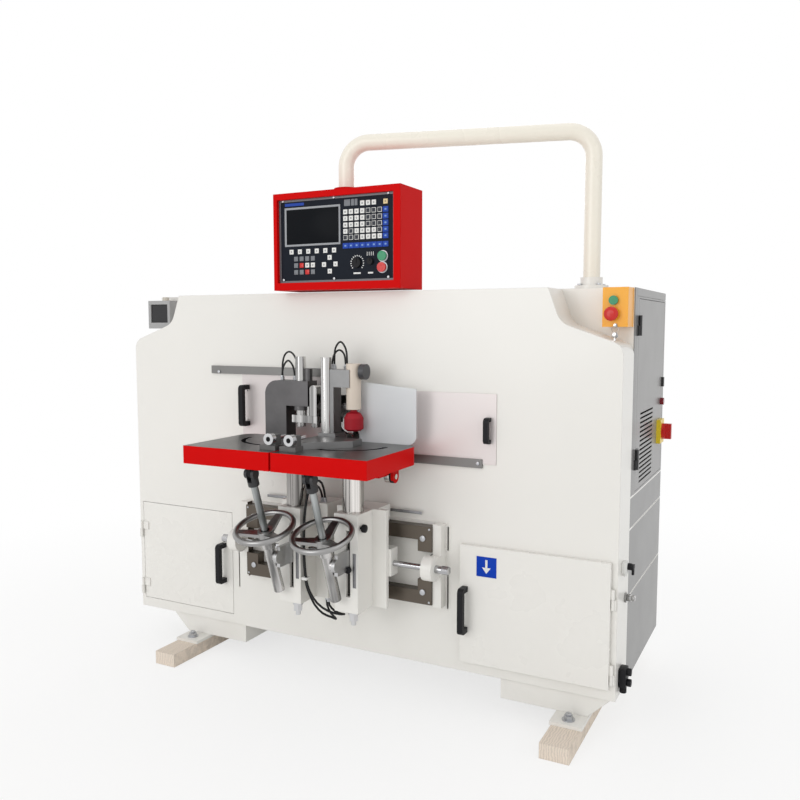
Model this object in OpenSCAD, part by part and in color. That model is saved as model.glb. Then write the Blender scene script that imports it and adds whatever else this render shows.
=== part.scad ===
// Tenoning machine: a sheet-steel casing on two bearers, with two tilting work tables at the front.
// X runs to the right along the casing, Y runs to the back, and Z runs up from the floor.
// Heights and depths below are measured from the casing's lower edge and from its front face.

/* [Casing] */
// Width of the casing
casing_w = 1800; // [1700:10:1900]
// Height of the casing front
casing_h = 1178; // [1150:1:1200]
// Depth of the casing front
casing_d = 143; // [130:1:160]
// Thickness of the sheet steel
sheet = 4; // [3:0.5:6]
// Height of the outer shoulder corner
shoulder_h = 1015; // [980:1:1040]
// Slope of the shoulder in degrees
shoulder_slope = 19.3; // [15:0.1:24]
// Top edge that is cut away at each end
top_inset = 216; // [190:1:240]
// Slope of the neck between the shoulder and the top, in degrees
neck_slope = 70; // [60:1:80]
// Outer corner radius of the shoulder
shoulder_r = 40; // [20:1:60]
// Inner corner radius of the neck
neck_r = 60; // [30:1:80]
// Height of the body behind the casing front
body_h = 1180; // [1178:1:1182]
// Depth of the body behind the casing front
body_d = 528; // [480:1:600]

/* [Base] */
// Width of a timber bearer
bearer_w = 85; // [70:1:110]
// Height of a timber bearer
bearer_h = 45; // [40:1:60]
// Length of bearer ahead of the casing
bearer_lead = 180; // [120:1:240]
// Length of bearer behind the body
bearer_tail = 90; // [80:1:140]
// Thickness of a foot's base plate
lug_t = 10; // [8:1:16]
// Width of a foot's base plate
lug_w = 96; // [90:1:120]
// Length of base plate that shows at each end of a foot
lug_d = 68; // [50:1:80]
// Diameter of an anchor hole
anchor_d = 18; // [14:1:22]
// Height of a foot
foot_h = 65; // [50:1:90]
// Width of a foot at its top
foot_w = 335; // [280:1:360]
// Slope width of a foot's outer side
foot_splay = 68; // [40:1:90]
// Distance from the casing's left end to the left foot
left_foot_in = 150; // [100:1:180]
// Distance from the casing's right end to the right foot
right_foot_in = 12; // [5:1:40]
// Wall of a foot
foot_wall = 8; // [5:1:12]

/* [Doors and guards] */
// Width of the left door
left_door_w = 421; // [380:1:430]
// Width of the right door
right_door_w = 458; // [420:1:465]
// Height of a lower door
door_h = 369; // [330:1:380]
// Height of the doors' lower edge
door_low = 36; // [30:1:60]
// Thickness of a door pan
door_t = 15; // [12:1:20]
// Height of a bridge handle
handle_h = 144; // [120:1:160]
// Stand-off of a bridge handle
handle_out = 42; // [36:1:50]
// Thickness of a sliding guard
guard_t = 3; // [2:0.5:4]
// Length of the left guard
left_guard_w = 330; // [300:1:340]
// Length of the right guard
right_guard_w = 440; // [400:1:450]
// Height of the right guard
right_guard_h = 213; // [205:1:225]
// Height of the lower keeper rail
lower_rail_h = 643; // [630:1:645]
// Height of the upper keeper rail
upper_rail_h = 903; // [895:1:915]
// Height of a keeper rail's section
rail_s = 27; // [22:1:34]
// Width of the work window
window_w = 620; // [560:1:640]
// Height of the work window
window_h = 155; // [120:1:160]

/* [Electrical cabinet] */
// Depth of the cabinet into the body
cabinet_w = 260; // [220:1:300]
// Distance of the cabinet's front from the casing front
cabinet_front = 182; // [175:1:220]
// Height of the cabinet's lower edge
cabinet_low = 565; // [540:1:600]
// Height of the cabinet's cap
cap_h = 24; // [18:1:32]
// Count of louvre slots
louvre_n = 16; // [10:1:20]
// How far the main switch stands out of the cabinet
switch_out = 44; // [40:1:50]

/* [Control arm] */
// Outer diameter of the arm tube
arm_d = 50; // [44:1:56]
// Wall of the arm tube
arm_wall = 3; // [2:0.5:5]
// Height of the arm's upper run
arm_h = 1647; // [1640:1:1700]
// Bend radius of the arm on its centre line
arm_r = 75; // [65:1:90]
// Distance of the post from the casing's right end
post_in = 142; // [120:1:160]
// Distance of the post from the casing front
post_y = 200; // [190:1:220]
// Width of the control box
box_w = 464; // [456:1:480]
// Depth of the control box
box_d = 153; // [140:1:170]
// Height of the control box
box_h = 310; // [306:1:320]
// Height of the control box's lower edge
box_low = 1184; // [1184:1:1194]
// Depth of the panel in its red frame
panel_set = 14; // [8:1:20]

/* [Tables] */
// Height of the table tops
table_h = 707; // [700:1:720]
// Width of the left table
left_table_w = 317; // [310:1:325]
// Width of the right table
right_table_w = 317; // [310:1:325]
// Depth of one table
table_d = 321; // [315:1:330]
// Thickness of a table's edge
table_t = 55; // [50:1:58]
// Gap between the two tables
table_gap = 7; // [5:1:10]
// Distance of the tables from the casing front
table_back = 62; // [56:1:70]
// Corner radius at a table's back
table_r = 40; // [20:1:50]
// Thickness of a table's top skin
table_skin = 16; // [12:1:20]

/* [Columns and struts] */
// Diameter of a table column
col_d = 66; // [60:1:68]
// Distance between the two columns
col_pitch = 206; // [200:1:212]
// Distance of the columns from the casing front
col_y = 155; // [150:1:160]
// Width of a column housing
housing_w = 82; // [80:1:90]
// Depth of a column housing
housing_d = 90; // [86:1:96]
// Height of a column housing
housing_h = 304; // [290:1:310]
// Tilt pin diameter
pin_d = 16; // [12:1:18]
// Outer diameter of a strut tube
tube_d = 34; // [32:1:36]
// Bore of a strut tube
tube_bore = 29; // [28:0.5:30]
// Diameter of a strut rod
rod_d = 22; // [18:1:22]
// Radius of a handwheel to the middle of its rim
wheel_r = 88; // [80:1:90]
// Radius of a handwheel's rim section
rim_r = 9; // [7:0.5:9.5]
// Diameter of a lead screw
screw_d = 18; // [14:1:20]

/* [Clamps] */
// Diameter of a clamp guide post
post_d = 34; // [28:1:36]
// Diameter of the right clamp's cylinder
cylinder_d = 46; // [40:1:48]
// Diameter of the right clamp's foot
foot_d = 60; // [50:1:60]

/* [Fits] */
// Radial running clearance of a shaft in its bore
run_fit = 0.05; // [0.02:0.01:0.1]
// Clearance between sliding faces
slide_fit = 0.3; // [0.2:0.1:0.6]
// Gap around a flush door
door_gap = 1.5; // [1:0.5:3]

/* [Hidden] */

$fn = 64;
ivory = [0.94, 0.93, 0.9];
grey_paint = [0.68, 0.67, 0.65];
red_paint = [0.8, 0.06, 0.05];
ground_iron = [0.45, 0.45, 0.44];
dark_iron = [0.3, 0.29, 0.27];
polished = [0.8, 0.8, 0.8];
black = [0.08, 0.08, 0.09];

hw = casing_w / 2;
casing_z = bearer_h + lug_t + foot_h;
back_y = casing_d + body_d;
eps = 1;
// Middle of the whole machine, which is the part's origin on the floor
frame_x = switch_out / 2;

// Tables and columns: the joint between the two tables, and both columns, across the machine
tables_mid = -14;
right_col = 130;
left_col = right_col - col_pitch;
units_mid = (right_col + left_col) / 2;
right_head = right_col;
left_head = left_col - 74;
table_z = casing_z + table_h;
table_low = table_z - table_t;

// Tilt pivot, strut foot and strut head in the side view
pivot_y = -110;
pivot_z = table_z - 92;
strut_foot_y = -269;
strut_foot_z = table_z - 342;
strut_head_y = -362;
strut_head_z = table_low - 16;
strut_l = norm([strut_head_y - strut_foot_y, strut_head_z - strut_foot_z]);
strut_a = atan2(strut_foot_y - strut_head_y, strut_head_z - strut_foot_z);
strut_x = -19;
wheel_at = 102;
wheel_front = strut_foot_y - wheel_at * sin(strut_a) - wheel_r * cos(strut_a) - rim_r;
frame_y = (back_y + bearer_tail + min(-table_back - table_d, wheel_front)) / 2;

// Saddle and bed
saddle_low = casing_z + 198;
saddle_h = 309;
saddle_w = 176;
saddle_off = -15;
saddle_front = -col_y + housing_d / 2;
bed_y = -10;
way_y = -45;
way_low = casing_z + 208;
way_high = casing_z + 454;
way_bar = 43;
way_out = 343;
bed_mid = -10;
tab_w = 47;
tab_h = 36;
bed_out = 372;
screw_y = -78;
screw_z = casing_z + 336;
housing_front = -col_y - housing_d / 2;

module placed() { translate([-frame_x, -frame_y, 0]) children(); }

// Box between two corners
module block(low, high) { translate(low) cube(high - low); }

// Cylinder along X, Y or Z from a point
module rod_x(p, l, d) { translate(p) rotate([0, 90, 0]) cylinder(h = l, d = d); }
module rod_y(p, l, d) { translate(p) rotate([-90, 0, 0]) cylinder(h = l, d = d); }
module rod_z(p, l, d) { translate(p) cylinder(h = l, d = d); }

function unit(v) = v / norm(v);
function wrap(a) = a - 360 * round(a / 360);

// Arc that rounds the corner q between p and s
function fillet(p, q, s, r, n = 6) =
    let(u = unit(p - q), v = unit(s - q), phi = acos(u * v),
        c = q + unit(u + v) * r / sin(phi / 2),
        a = q + u * r / tan(phi / 2) - c, b = q + v * r / tan(phi / 2) - c,
        start = atan2(a[1], a[0]), turn = wrap(atan2(b[1], b[0]) - start))
    [for (i = [0:n]) c + r * [cos(start + turn * i / n), sin(start + turn * i / n)]];

// Outline of the casing front, drawn in by t all round
function casing_side(t) =
    let(m = tan(shoulder_slope), k = 1 / tan(neck_slope),
        drop = shoulder_h - t * sqrt(1 + m * m), neck = hw - top_inset - t * sqrt(1 + k * k),
        corner = [hw - t, drop + m * t],
        xc = (neck + (casing_h - drop - m * hw) * k) / (1 - m * k),
        inner = [xc, drop + m * (hw - xc)],
        top = [neck + t * k, casing_h - t])
    concat([[hw - t, t]],
        fillet([hw - t, t], corner, inner, shoulder_r - t),
        fillet(corner, inner, top, neck_r + t),
        [top]);
function flip(points) = [for (i = [len(points) - 1:-1:0]) [-points[i][0], points[i][1]]];
function casing_outline(t) = concat(casing_side(t), flip(casing_side(t)));

// Smooth route through hand-set points, and a tube swept along it
function spline(p, i, t) =
    let(n = len(p) - 1, a = p[max(i - 1, 0)], b = p[i], c = p[min(i + 1, n)], d = p[min(i + 2, n)])
    0.5 * (2 * b + (c - a) * t + (2 * a - 5 * b + 4 * c - d) * t * t
        + (3 * b - a - 3 * c + d) * t * t * t);
function route(p, steps) =
    [for (i = [0:len(p) - 2]) for (k = [0:steps - 1]) spline(p, i, k / steps), p[len(p) - 1]];
function heading(r, i) = unit(r[min(i + 1, len(r) - 1)] - r[max(i - 1, 0)]);
module hose(points, d, side_ref, sides = 8, steps = 2) {
    r = route(points, steps);
    last = (len(r) - 1) * sides;
    rings = [for (i = [0:len(r) - 1])
        let(t = heading(r, i), u = unit(cross(t, side_ref)), v = cross(t, u))
        for (k = [0:sides - 1]) r[i] + d / 2 * (cos(360 * k / sides) * u + sin(360 * k / sides) * v)];
    walls = [for (i = [0:len(r) - 2]) for (k = [0:sides - 1])
        let(a = i * sides + k, b = i * sides + (k + 1) % sides)
        each [[a, a + sides, b + sides], [a, b + sides, b]]];
    ends = [for (k = [1:sides - 2]) each [[0, k, k + 1], [last, last + k + 1, last + k]]];
    polyhedron(points = rings, faces = concat(walls, ends));
}

// Bridge handle on a face that looks along -Y, centred at x and z
module bridge_handle(x, y, z, h, out, w = 18, grip = 16) {
    r = 14;
    translate([x - w / 2, y, z - h / 2])
        rotate([90, 0, 90]) linear_extrude(w) difference() {
            union() {
                translate([-out + r, 0]) square([out - r, h]);
                translate([-out, r]) square([r, h - 2 * r]);
                for (c = [r, h - r]) translate([-out + r, c]) circle(r);
            }
            translate([-out + grip, grip]) square([out, h - 2 * grip]);
        }
}

// Base and bearers
function bearer_mid(s) = s > 0 ? hw - right_foot_in - foot_splay - bearer_w / 2 - 2
    : -hw + left_foot_in + foot_splay + bearer_w / 2 + 15;
// Root gap of the weld between a foot and its base plate
weld_gap = 0.3;
module foot_section(s, t) {
    inner = s > 0 ? hw - right_foot_in - foot_w : hw - left_foot_in - foot_w;
    outer = inner + foot_w;
    low = casing_z - foot_h + weld_gap;
    scale_x = s > 0 ? 1 : -1;
    polygon([for (p = [[inner + t, low + (t > 0 ? foot_wall : 0)],
        [outer - foot_splay - t, low + (t > 0 ? foot_wall : 0)],
        [outer - 1.5 * t, casing_z + (t > 0 ? eps : 0)], [inner + t, casing_z + (t > 0 ? eps : 0)]])
        [scale_x * p[0], p[1]]]);
}
portal_x = 440;
beam_y = 430;
beam_low = casing_z + 560;
beam_s = 80;
rail_out = 15;
rail_at = [15, 65];
module base_frame() {
    color(ivory) {
        for (s = [-1, 1]) {
            difference() {
                translate([0, back_y - 8, 0]) rotate([90, 0, 0]) linear_extrude(back_y - 16) foot_section(s, 0);
                translate([0, back_y - 8 - foot_wall, 0]) rotate([90, 0, 0])
                    linear_extrude(back_y - 16 - 2 * foot_wall) foot_section(s, foot_wall);
            }
            difference() {
                block([bearer_mid(s) - lug_w / 2, -lug_d, bearer_h],
                    [bearer_mid(s) + lug_w / 2, back_y + lug_d, bearer_h + lug_t]);
                for (y = [-lug_d / 2, back_y + lug_d / 2])
                    rod_z([bearer_mid(s), y, bearer_h - eps], lug_t + 2 * eps, anchor_d);
            }
        }
        for (s = [-1, 1])
            block([s * portal_x - beam_s / 2, beam_y, casing_z + sheet],
                [s * portal_x + beam_s / 2, beam_y + beam_s, beam_low]);
        block([-portal_x - beam_s, beam_y, beam_low], [portal_x + beam_s, beam_y + beam_s, beam_low + beam_s]);
        for (z = rail_at)
            block([-portal_x, beam_y - rail_out, beam_low + z - 9], [portal_x, beam_y, beam_low + z + 9]);
    }
}

module bearers() {
    color([0.66, 0.62, 0.56]) for (s = [-1, 1]) difference() {
        block([bearer_mid(s) - bearer_w / 2, -bearer_lead, 0],
            [bearer_mid(s) + bearer_w / 2, back_y + bearer_tail, bearer_h]);
        for (y = [-lug_d / 2, back_y + lug_d / 2])
            rod_z([bearer_mid(s), y, -eps], bearer_h + 2 * eps, anchor_d);
    }
}

// Casing
left_door_x = -hw + 17;
right_door_x = hw - 17 - right_door_w;
door_z = casing_z + door_low;
door_lap = 20;
window_x = -240;
window_z = casing_z + lower_rail_h + rail_s + 20;
slit_w = 5;
module front_casing() {
    color(ivory) difference() {
        translate([0, casing_d, casing_z]) rotate([90, 0, 0])
            linear_extrude(casing_d) polygon(casing_outline(0));
        translate([0, casing_d + eps, casing_z]) rotate([90, 0, 0])
            linear_extrude(casing_d + eps - sheet) polygon(casing_outline(sheet));
        block([window_x, -eps, window_z], [window_x + window_w, sheet + eps, window_z + window_h]);
        block([left_door_x - door_gap, -eps, door_z - door_gap],
            [left_door_x + left_door_w + door_gap, sheet + eps, door_z + door_h + door_gap]);
        block([right_door_x + door_lap, -eps, door_z + door_lap],
            [right_door_x + right_door_w - door_lap, sheet + eps, door_z + door_h - door_lap]);
        block([bed_out + 4, -eps, casing_z + 375], [bed_out + 4 + slit_w, sheet + eps, casing_z + 450]);
        block([bed_out + 4, -eps, casing_z + 190], [bed_out + 4 + slit_w, sheet + eps, casing_z + 300]);
        block([-430 - slit_w, -eps, casing_z + 140], [-430, sheet + eps, casing_z + 300]);
    }
}

corner_w = 340;
corner_low = 940;
spigot_d = 120;
spigot_l = 60;
spigot_x = 250;
spigot_z = casing_z + 770;
module rear_casing() {
    top = casing_z + body_h;
    color(ivory) difference() {
        union() {
            block([-hw, casing_d, casing_z], [hw, back_y, top]);
            for (s = [-1, 1]) rod_y([s * spigot_x, back_y - eps, spigot_z], spigot_l + eps, spigot_d);
        }
        block([-hw + sheet, casing_d + sheet, casing_z + sheet], [hw - sheet, back_y - sheet, top - sheet]);
        block([-hw + corner_w, casing_d - eps, casing_z + sheet], [hw - corner_w, back_y / 2, top - sheet]);
        block([-hw + sheet, casing_d - eps, casing_z + sheet], [hw - sheet, back_y / 2, casing_z + corner_low]);
        block([hw - cabinet_w, cabinet_front, casing_z + cabinet_low], [hw + eps, back_y + eps, top + eps]);
        for (s = [-1, 1]) rod_y([s * spigot_x, back_y - 2 * sheet, spigot_z], spigot_l + 3 * sheet, spigot_d - 6);
        for (z = [265, 468])
            block([hw - 1.5, cabinet_front, casing_z + z - 1.5], [hw + eps, back_y + eps, casing_z + z + 1.5]);
    }
}

// Hinges of both lower doors and of the cabinet door
hinge_d = 10;
hinge_l = 60;
left_hinge = [left_door_x - 6, -6];
right_hinge = [hw - 11, -9];
cabinet_hinge = [hw + 6, cabinet_front + 17];
hinge_z = [50, 270];
cabinet_hinge_z = [640, body_h - 140];
hinge_pin = 6;
knuckle_l = hinge_l / 2;
// Fixed knuckle with its pin at an axis, and the loose knuckle that turns on it
module fixed_knuckle(at, z) {
    rod_z([at[0], at[1], z], knuckle_l - slide_fit, hinge_d);
    rod_z([at[0], at[1], z], hinge_l - 3, hinge_pin);
}
module loose_knuckle(at, z) {
    difference() {
        union() {
            rod_z([at[0], at[1], z + knuckle_l], knuckle_l, hinge_d);
            children();
        }
        rod_z([at[0], at[1], z + knuckle_l - eps], knuckle_l + 2 * eps, hinge_pin + 2 * run_fit);
    }
}
module door_hinges() {
    leaf = knuckle_l - slide_fit;
    color(ivory) for (z = hinge_z) {
        fixed_knuckle(left_hinge, casing_z + z);
        block([-hw + 1, left_hinge[1], casing_z + z], [left_hinge[0], 0, casing_z + z + leaf]);
        fixed_knuckle(right_hinge, casing_z + z);
        block([right_hinge[0], right_hinge[1], casing_z + z], [hw - 2, 0, casing_z + z + leaf]);
    }
    color(black) for (z = cabinet_hinge_z) {
        fixed_knuckle(cabinet_hinge, casing_z + z);
        block([hw, cabinet_front + 2, casing_z + z], [cabinet_hinge[0], cabinet_hinge[1], casing_z + z + leaf]);
    }
}

module door_pan(low, high) {
    skin = 3;
    difference() {
        block(low, high);
        block([low[0] + skin, low[1] + skin, low[2] + skin], [high[0] - skin, high[1] + eps, high[2] - skin]);
    }
}
leaf_t = 3.5;
leaf_l = 24;
module left_door() {
    color(ivory) {
        door_pan([left_door_x, 0, door_z], [left_door_x + left_door_w, door_t, door_z + door_h]);
        for (z = hinge_z) loose_knuckle(left_hinge, casing_z + z) {
            low = casing_z + z + knuckle_l;
            block([left_hinge[0], -leaf_t, low], [left_door_x + leaf_l, -slide_fit, low + knuckle_l]);
            block([left_door_x + 1, -leaf_t, low], [left_door_x + leaf_l, 0, low + knuckle_l]);
        }
    }
}
module right_door() {
    color(ivory) {
        door_pan([right_door_x, -door_t - 1, door_z], [right_door_x + right_door_w, -1, door_z + door_h]);
        for (z = hinge_z) loose_knuckle(right_hinge, casing_z + z)
            block([right_door_x + right_door_w - 1, right_hinge[1] - 3, casing_z + z + knuckle_l],
                [right_hinge[0], right_hinge[1] + 3, casing_z + z + hinge_l]);
    }
}
module left_door_handle() {
    color(black) bridge_handle(left_door_x + left_door_w - 36, 0, door_z + 185, handle_h, handle_out);
}
module right_door_handle() {
    color(black) bridge_handle(right_door_x + 18, -door_t - 1, door_z + 169, handle_h, handle_out);
}

// Sliding guards in their keeper rails
guard_y = -guard_t - 0.5;
rail_y = guard_y - 0.5;
rail_lip = 4;
guard_low = casing_z + lower_rail_h + 12;
left_guard_x = -402;
right_guard_x = 94;
module guard_rails() {
    low = casing_z + lower_rail_h;
    high = casing_z + upper_rail_h;
    color([0.6, 0.6, 0.6]) {
        block([-420, rail_y - rail_lip, low], [491, rail_y, low + rail_s]);
        block([-420, rail_y - rail_lip, low], [491, 0, low + 11.5]);
        difference() {
            union() {
                block([-534, rail_y - rail_lip, high], [60, rail_y, high + rail_s]);
                block([-534, rail_y - rail_lip, high + rail_s - 11], [60, 0, high + rail_s]);
            }
            for (x = [-500, 30])
                rod_y([x, rail_y - rail_lip - eps, high + 6], rail_lip + 2 * eps, 6);
        }
    }
}
module left_guard() {
    color([0.9, 0.88, 0.88]) difference() {
        block([left_guard_x, guard_y, guard_low],
            [left_guard_x + left_guard_w, guard_y + guard_t, casing_z + upper_rail_h + rail_s - 13]);
        for (z = [-50, 50]) rod_y([left_guard_x + 22, guard_y - eps, casing_z + 796 + z], guard_t + 2 * eps, 5);
    }
}
module right_guard() {
    color([0.9, 0.88, 0.88]) difference() {
        block([right_guard_x, guard_y, guard_low],
            [right_guard_x + right_guard_w, guard_y + guard_t, guard_low + right_guard_h]);
        for (z = [-25, 25])
            rod_y([right_guard_x + right_guard_w - 24, guard_y - eps, casing_z + 758 + z], guard_t + 2 * eps, 5);
    }
}
module left_guard_handle() {
    color(black) bridge_handle(left_guard_x + 22, guard_y, casing_z + 796, handle_h - 2, handle_out);
}
module right_guard_pull() {
    color(black) bridge_handle(right_guard_x + right_guard_w - 24, guard_y, casing_z + 758, 78, 28, 16, 12);
}

// Electrical cabinet in the right end of the body
cabinet_z = casing_z + cabinet_low;
cabinet_top = casing_z + body_h;
opening_y = [cabinet_front + 22, back_y - 16];
opening_z = [cabinet_z + 6, cabinet_top - cap_h - 6];
module cabinet() {
    color(grey_paint) difference() {
        block([hw - cabinet_w, cabinet_front, cabinet_z], [hw, back_y, cabinet_top]);
        block([hw - cabinet_w + sheet, cabinet_front + sheet, cabinet_z + sheet],
            [hw - 2 * sheet, back_y - sheet, cabinet_top - sheet]);
        block([hw - 3 * sheet, opening_y[0], opening_z[0]], [hw + eps, opening_y[1], opening_z[1]]);
        block([hw - 1.5, cabinet_front - eps, cabinet_top - cap_h - 1],
            [hw + eps, back_y + eps, cabinet_top - cap_h + 1]);
    }
}
vent_y = 265;
vent_w = 212;
vent_low = opening_z[0] + 17;
vent_step = 14;
module cabinet_door() {
    low = [hw - door_t, opening_y[0] + door_gap, opening_z[0] + door_gap];
    high = [hw, opening_y[1] - door_gap, opening_z[1] - door_gap];
    skin = 3;
    color(grey_paint) for (z = cabinet_hinge_z) loose_knuckle(cabinet_hinge, casing_z + z) {
        at = casing_z + z + knuckle_l;
        block([hw + slide_fit, cabinet_hinge[1], at], [hw + leaf_t, low[1] + leaf_l, at + knuckle_l]);
        block([hw, low[1] + 1, at], [hw + leaf_t, low[1] + leaf_l, at + knuckle_l]);
    }
    color(grey_paint) difference() {
        block(low, high);
        block([low[0] - eps, low[1] + skin, low[2] + skin], [high[0] - skin, high[1] - skin, high[2] - skin]);
        for (i = [0:louvre_n - 1])
            block([hw - 2 * skin, vent_y, vent_low + i * vent_step],
                [hw + eps, vent_y + vent_w, vent_low + i * vent_step + 6]);
    }
}
switch_y = 590;
switch_z = casing_z + 713;
plate_t = 14;
module cabinet_fittings() {
    color([0.95, 0.85, 0.05]) difference() {
        block([hw, switch_y - 34, switch_z - 40], [hw + plate_t, switch_y + 34, switch_z + 40]);
        rod_x([hw - eps, switch_y, switch_z], plate_t + 2 * eps, 2 * (9 + run_fit));
    }
    color([0.4, 0.05, 0.08]) rod_x([hw, switch_y + 30, casing_z + 812], 12, 24);
    color(black) block([hw, switch_y + 38, casing_z + 862], [hw + 8, switch_y + 52, casing_z + 894]);
}
module main_switch_knob() {
    out = hw + plate_t + slide_fit;
    color([0.8, 0.1, 0.05]) {
        rod_x([hw + 0.5, switch_y, switch_z], out - hw, 18);
        rod_x([out, switch_y, switch_z], 10, 52);
        block([out, switch_y - 8, switch_z - 26], [hw + switch_out, switch_y + 8, switch_z + 26]);
    }
}

// Push-button station and breaker box on the walls behind the shoulders
station_x = hw - 76;
station_y = 65;
station_w = 72;
station_z = casing_z + 1066;
station_h = 112;
start_at = [station_x + 32, station_z + 75];
stop_at = [station_x + 28, station_z + 37];
stem_d = 16;
module button_box() {
    color([0.98, 0.68, 0.16]) difference() {
        block([station_x, station_y, station_z], [station_x + station_w, casing_d, station_z + station_h]);
        block([station_x + 3, station_y + 3, station_z + 3],
            [station_x + station_w - 3, casing_d + eps, station_z + station_h - 3]);
        for (p = [start_at, stop_at])
            rod_y([p[0], station_y - eps, p[1]], 3 + 2 * eps, stem_d + 2 * run_fit);
    }
}
module push_button(p, face_y, d, out, travel, stem) {
    rod_y([p[0], face_y - travel - out, p[1]], out, d);
    rod_y([p[0], face_y - travel - eps, p[1]], travel + stem + eps, stem_d);
}
module start_button() { color([0.1, 0.55, 0.3]) push_button(start_at, station_y, 26, 6, 4, 25); }
module stop_button() {
    color([0.85, 0.15, 0.12]) {
        push_button(stop_at, station_y, 30, 6, 6, 25);
        translate([stop_at[0], station_y - 12, stop_at[1]]) rotate([90, 0, 0])
            rotate_extrude() polygon([[0, 0], [15, 0], [20, 2], [20, 6], [17, 10], [10, 12.5], [0, 13]]);
    }
}
breaker_x = -hw + 8;
breaker_w = 106;
breaker_z = casing_z + 1060;
breaker_h = 104;
module breaker_box() {
    color(grey_paint) {
        difference() {
            block([breaker_x, 62, breaker_z], [breaker_x + breaker_w, casing_d, breaker_z + breaker_h]);
            block([breaker_x + 12, 61, breaker_z + 22], [breaker_x + breaker_w - 12, 70, breaker_z + breaker_h - 14]);
        }
        rod_z([breaker_x + breaker_w / 2, 100, breaker_z + breaker_h], 14, 24);
    }
    color(black) block([breaker_x + 14, 66, breaker_z + 24], [breaker_x + breaker_w - 14, 70, breaker_z + breaker_h - 16]);
}

// Swivelling arm and control box
post_x = hw - post_in;
body_top = casing_z + body_h;
box_mid = [11, 16.5];
box_z = casing_z + box_low;
run_z = casing_z + arm_h;
reach = norm([post_x - box_mid[0], post_y - box_mid[1]]);
swing = atan2(post_y - box_mid[1], post_x - box_mid[0]);
collar_h = 12;
module arm_socket() {
    color(ivory) difference() {
        union() {
            rod_z([post_x, post_y, body_top], 10, 100);
            rod_z([post_x, post_y, body_top], 34, 66);
        }
        rod_z([post_x, post_y, body_top + sheet], 40, arm_d + 2 * run_fit);
        for (a = [45:90:315])
            translate([post_x + 41 * cos(a), post_y + 41 * sin(a), body_top - eps]) cylinder(h = 12, d = 7);
    }
}
module arm_path(d) {
    rise = run_z - arm_r - body_top - sheet - slide_fit;
    drop = run_z - arm_r - box_z - box_h - slide_fit;
    rod_z([0, 0, run_z - arm_r - rise], rise, d);
    translate([-arm_r, 0, run_z - arm_r]) rotate([90, 0, 0]) rotate_extrude(angle = 90) translate([arm_r, 0]) circle(d = d);
    rod_x([-reach + arm_r, 0, run_z], reach - 2 * arm_r, d);
    translate([-reach + arm_r, 0, run_z - arm_r]) rotate([90, 0, 0]) rotate([0, 0, 90])
        rotate_extrude(angle = 90) translate([arm_r, 0]) circle(d = d);
    rod_z([-reach, 0, run_z - arm_r - drop], drop, d);
}
module arm_tube() {
    color(ivory) translate([post_x, post_y, 0]) rotate([0, 0, swing]) difference() {
        arm_path(arm_d);
        arm_path(arm_d - 2 * arm_wall);
    }
}
box_front = box_mid[1] - box_d / 2;
// Red frame round the panel: left, right, top and bottom
frame_bar = [14, 24, 20, 24];
module control_box() {
    x0 = box_mid[0] - box_w / 2;
    skin = 3;
    color(red_paint) difference() {
        union() {
            block([x0, box_front, box_z], [x0 + box_w, box_front + box_d, box_z + box_h]);
            rod_z([box_mid[0], box_mid[1], box_z + box_h - eps], collar_h + eps, arm_d + 30);
        }
        block([x0 + skin, box_front + panel_set + 6, box_z + skin],
            [x0 + box_w - skin, box_front + box_d - skin, box_z + box_h - skin]);
        block([x0 + frame_bar[0], box_front - eps, box_z + frame_bar[3]],
            [x0 + box_w - frame_bar[1], box_front + panel_set + 7, box_z + box_h - frame_bar[2]]);
        rod_z([box_mid[0], box_mid[1], box_z + box_h - 2 * skin], 40, arm_d + 2 * run_fit);
    }
}
panel_y = box_front + panel_set;
dial_at = [85.6, box_z + 80.8];
mode_at = [133.6, box_z + 83.9];
go_at = [176, box_z + 99];
halt_at = [174.5, box_z + 64.8];
module control_panel() {
    x0 = box_mid[0] - box_w / 2 + frame_bar[0];
    x1 = box_mid[0] + box_w / 2 - frame_bar[1];
    z0 = box_z + frame_bar[3];
    z1 = box_z + box_h - frame_bar[2];
    color(black) difference() {
        union() {
            block([x0, panel_y, z0], [x1, panel_y + 6, z1]);
            difference() {
                block([x0, panel_y - 2, z0], [x1, panel_y, z1]);
                block([x0 + 7, panel_y - 3, z0 + 7], [x1 - 7, panel_y, z1 - 7]);
            }
        }
        block([x0 + 31, panel_y - eps, z0 + 122], [x0 + 227, panel_y + 2, z0 + 236]);
        for (p = [dial_at, mode_at, go_at, halt_at])
            rod_y([p[0], panel_y - 3, p[1]], 12, 12 + 2 * run_fit);
    }
}
module panel_knob(p, d, l) {
    color(black) {
        rod_y([p[0], panel_y - slide_fit, p[1]], 20, 12);
        rod_y([p[0], panel_y - slide_fit - l, p[1]], l, d);
        block([p[0] - 2, panel_y - slide_fit - l - 2, p[1]], [p[0] + 2, panel_y - slide_fit - l, p[1] + d / 2 - 1]);
    }
}
module panel_button(p) {
    rod_y([p[0], panel_y - 3, p[1]], 23, 12);
    rod_y([p[0], panel_y - 9, p[1]], 6, 30);
}
module feed_dial() { panel_knob(dial_at, 30, 9); }
module mode_switch() { panel_knob(mode_at, 20, 9); }
module panel_start_button() { color([0.1, 0.6, 0.45]) panel_button(go_at); }
module panel_stop_button() { color([0.85, 0.1, 0.1]) panel_button(halt_at); }

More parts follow.
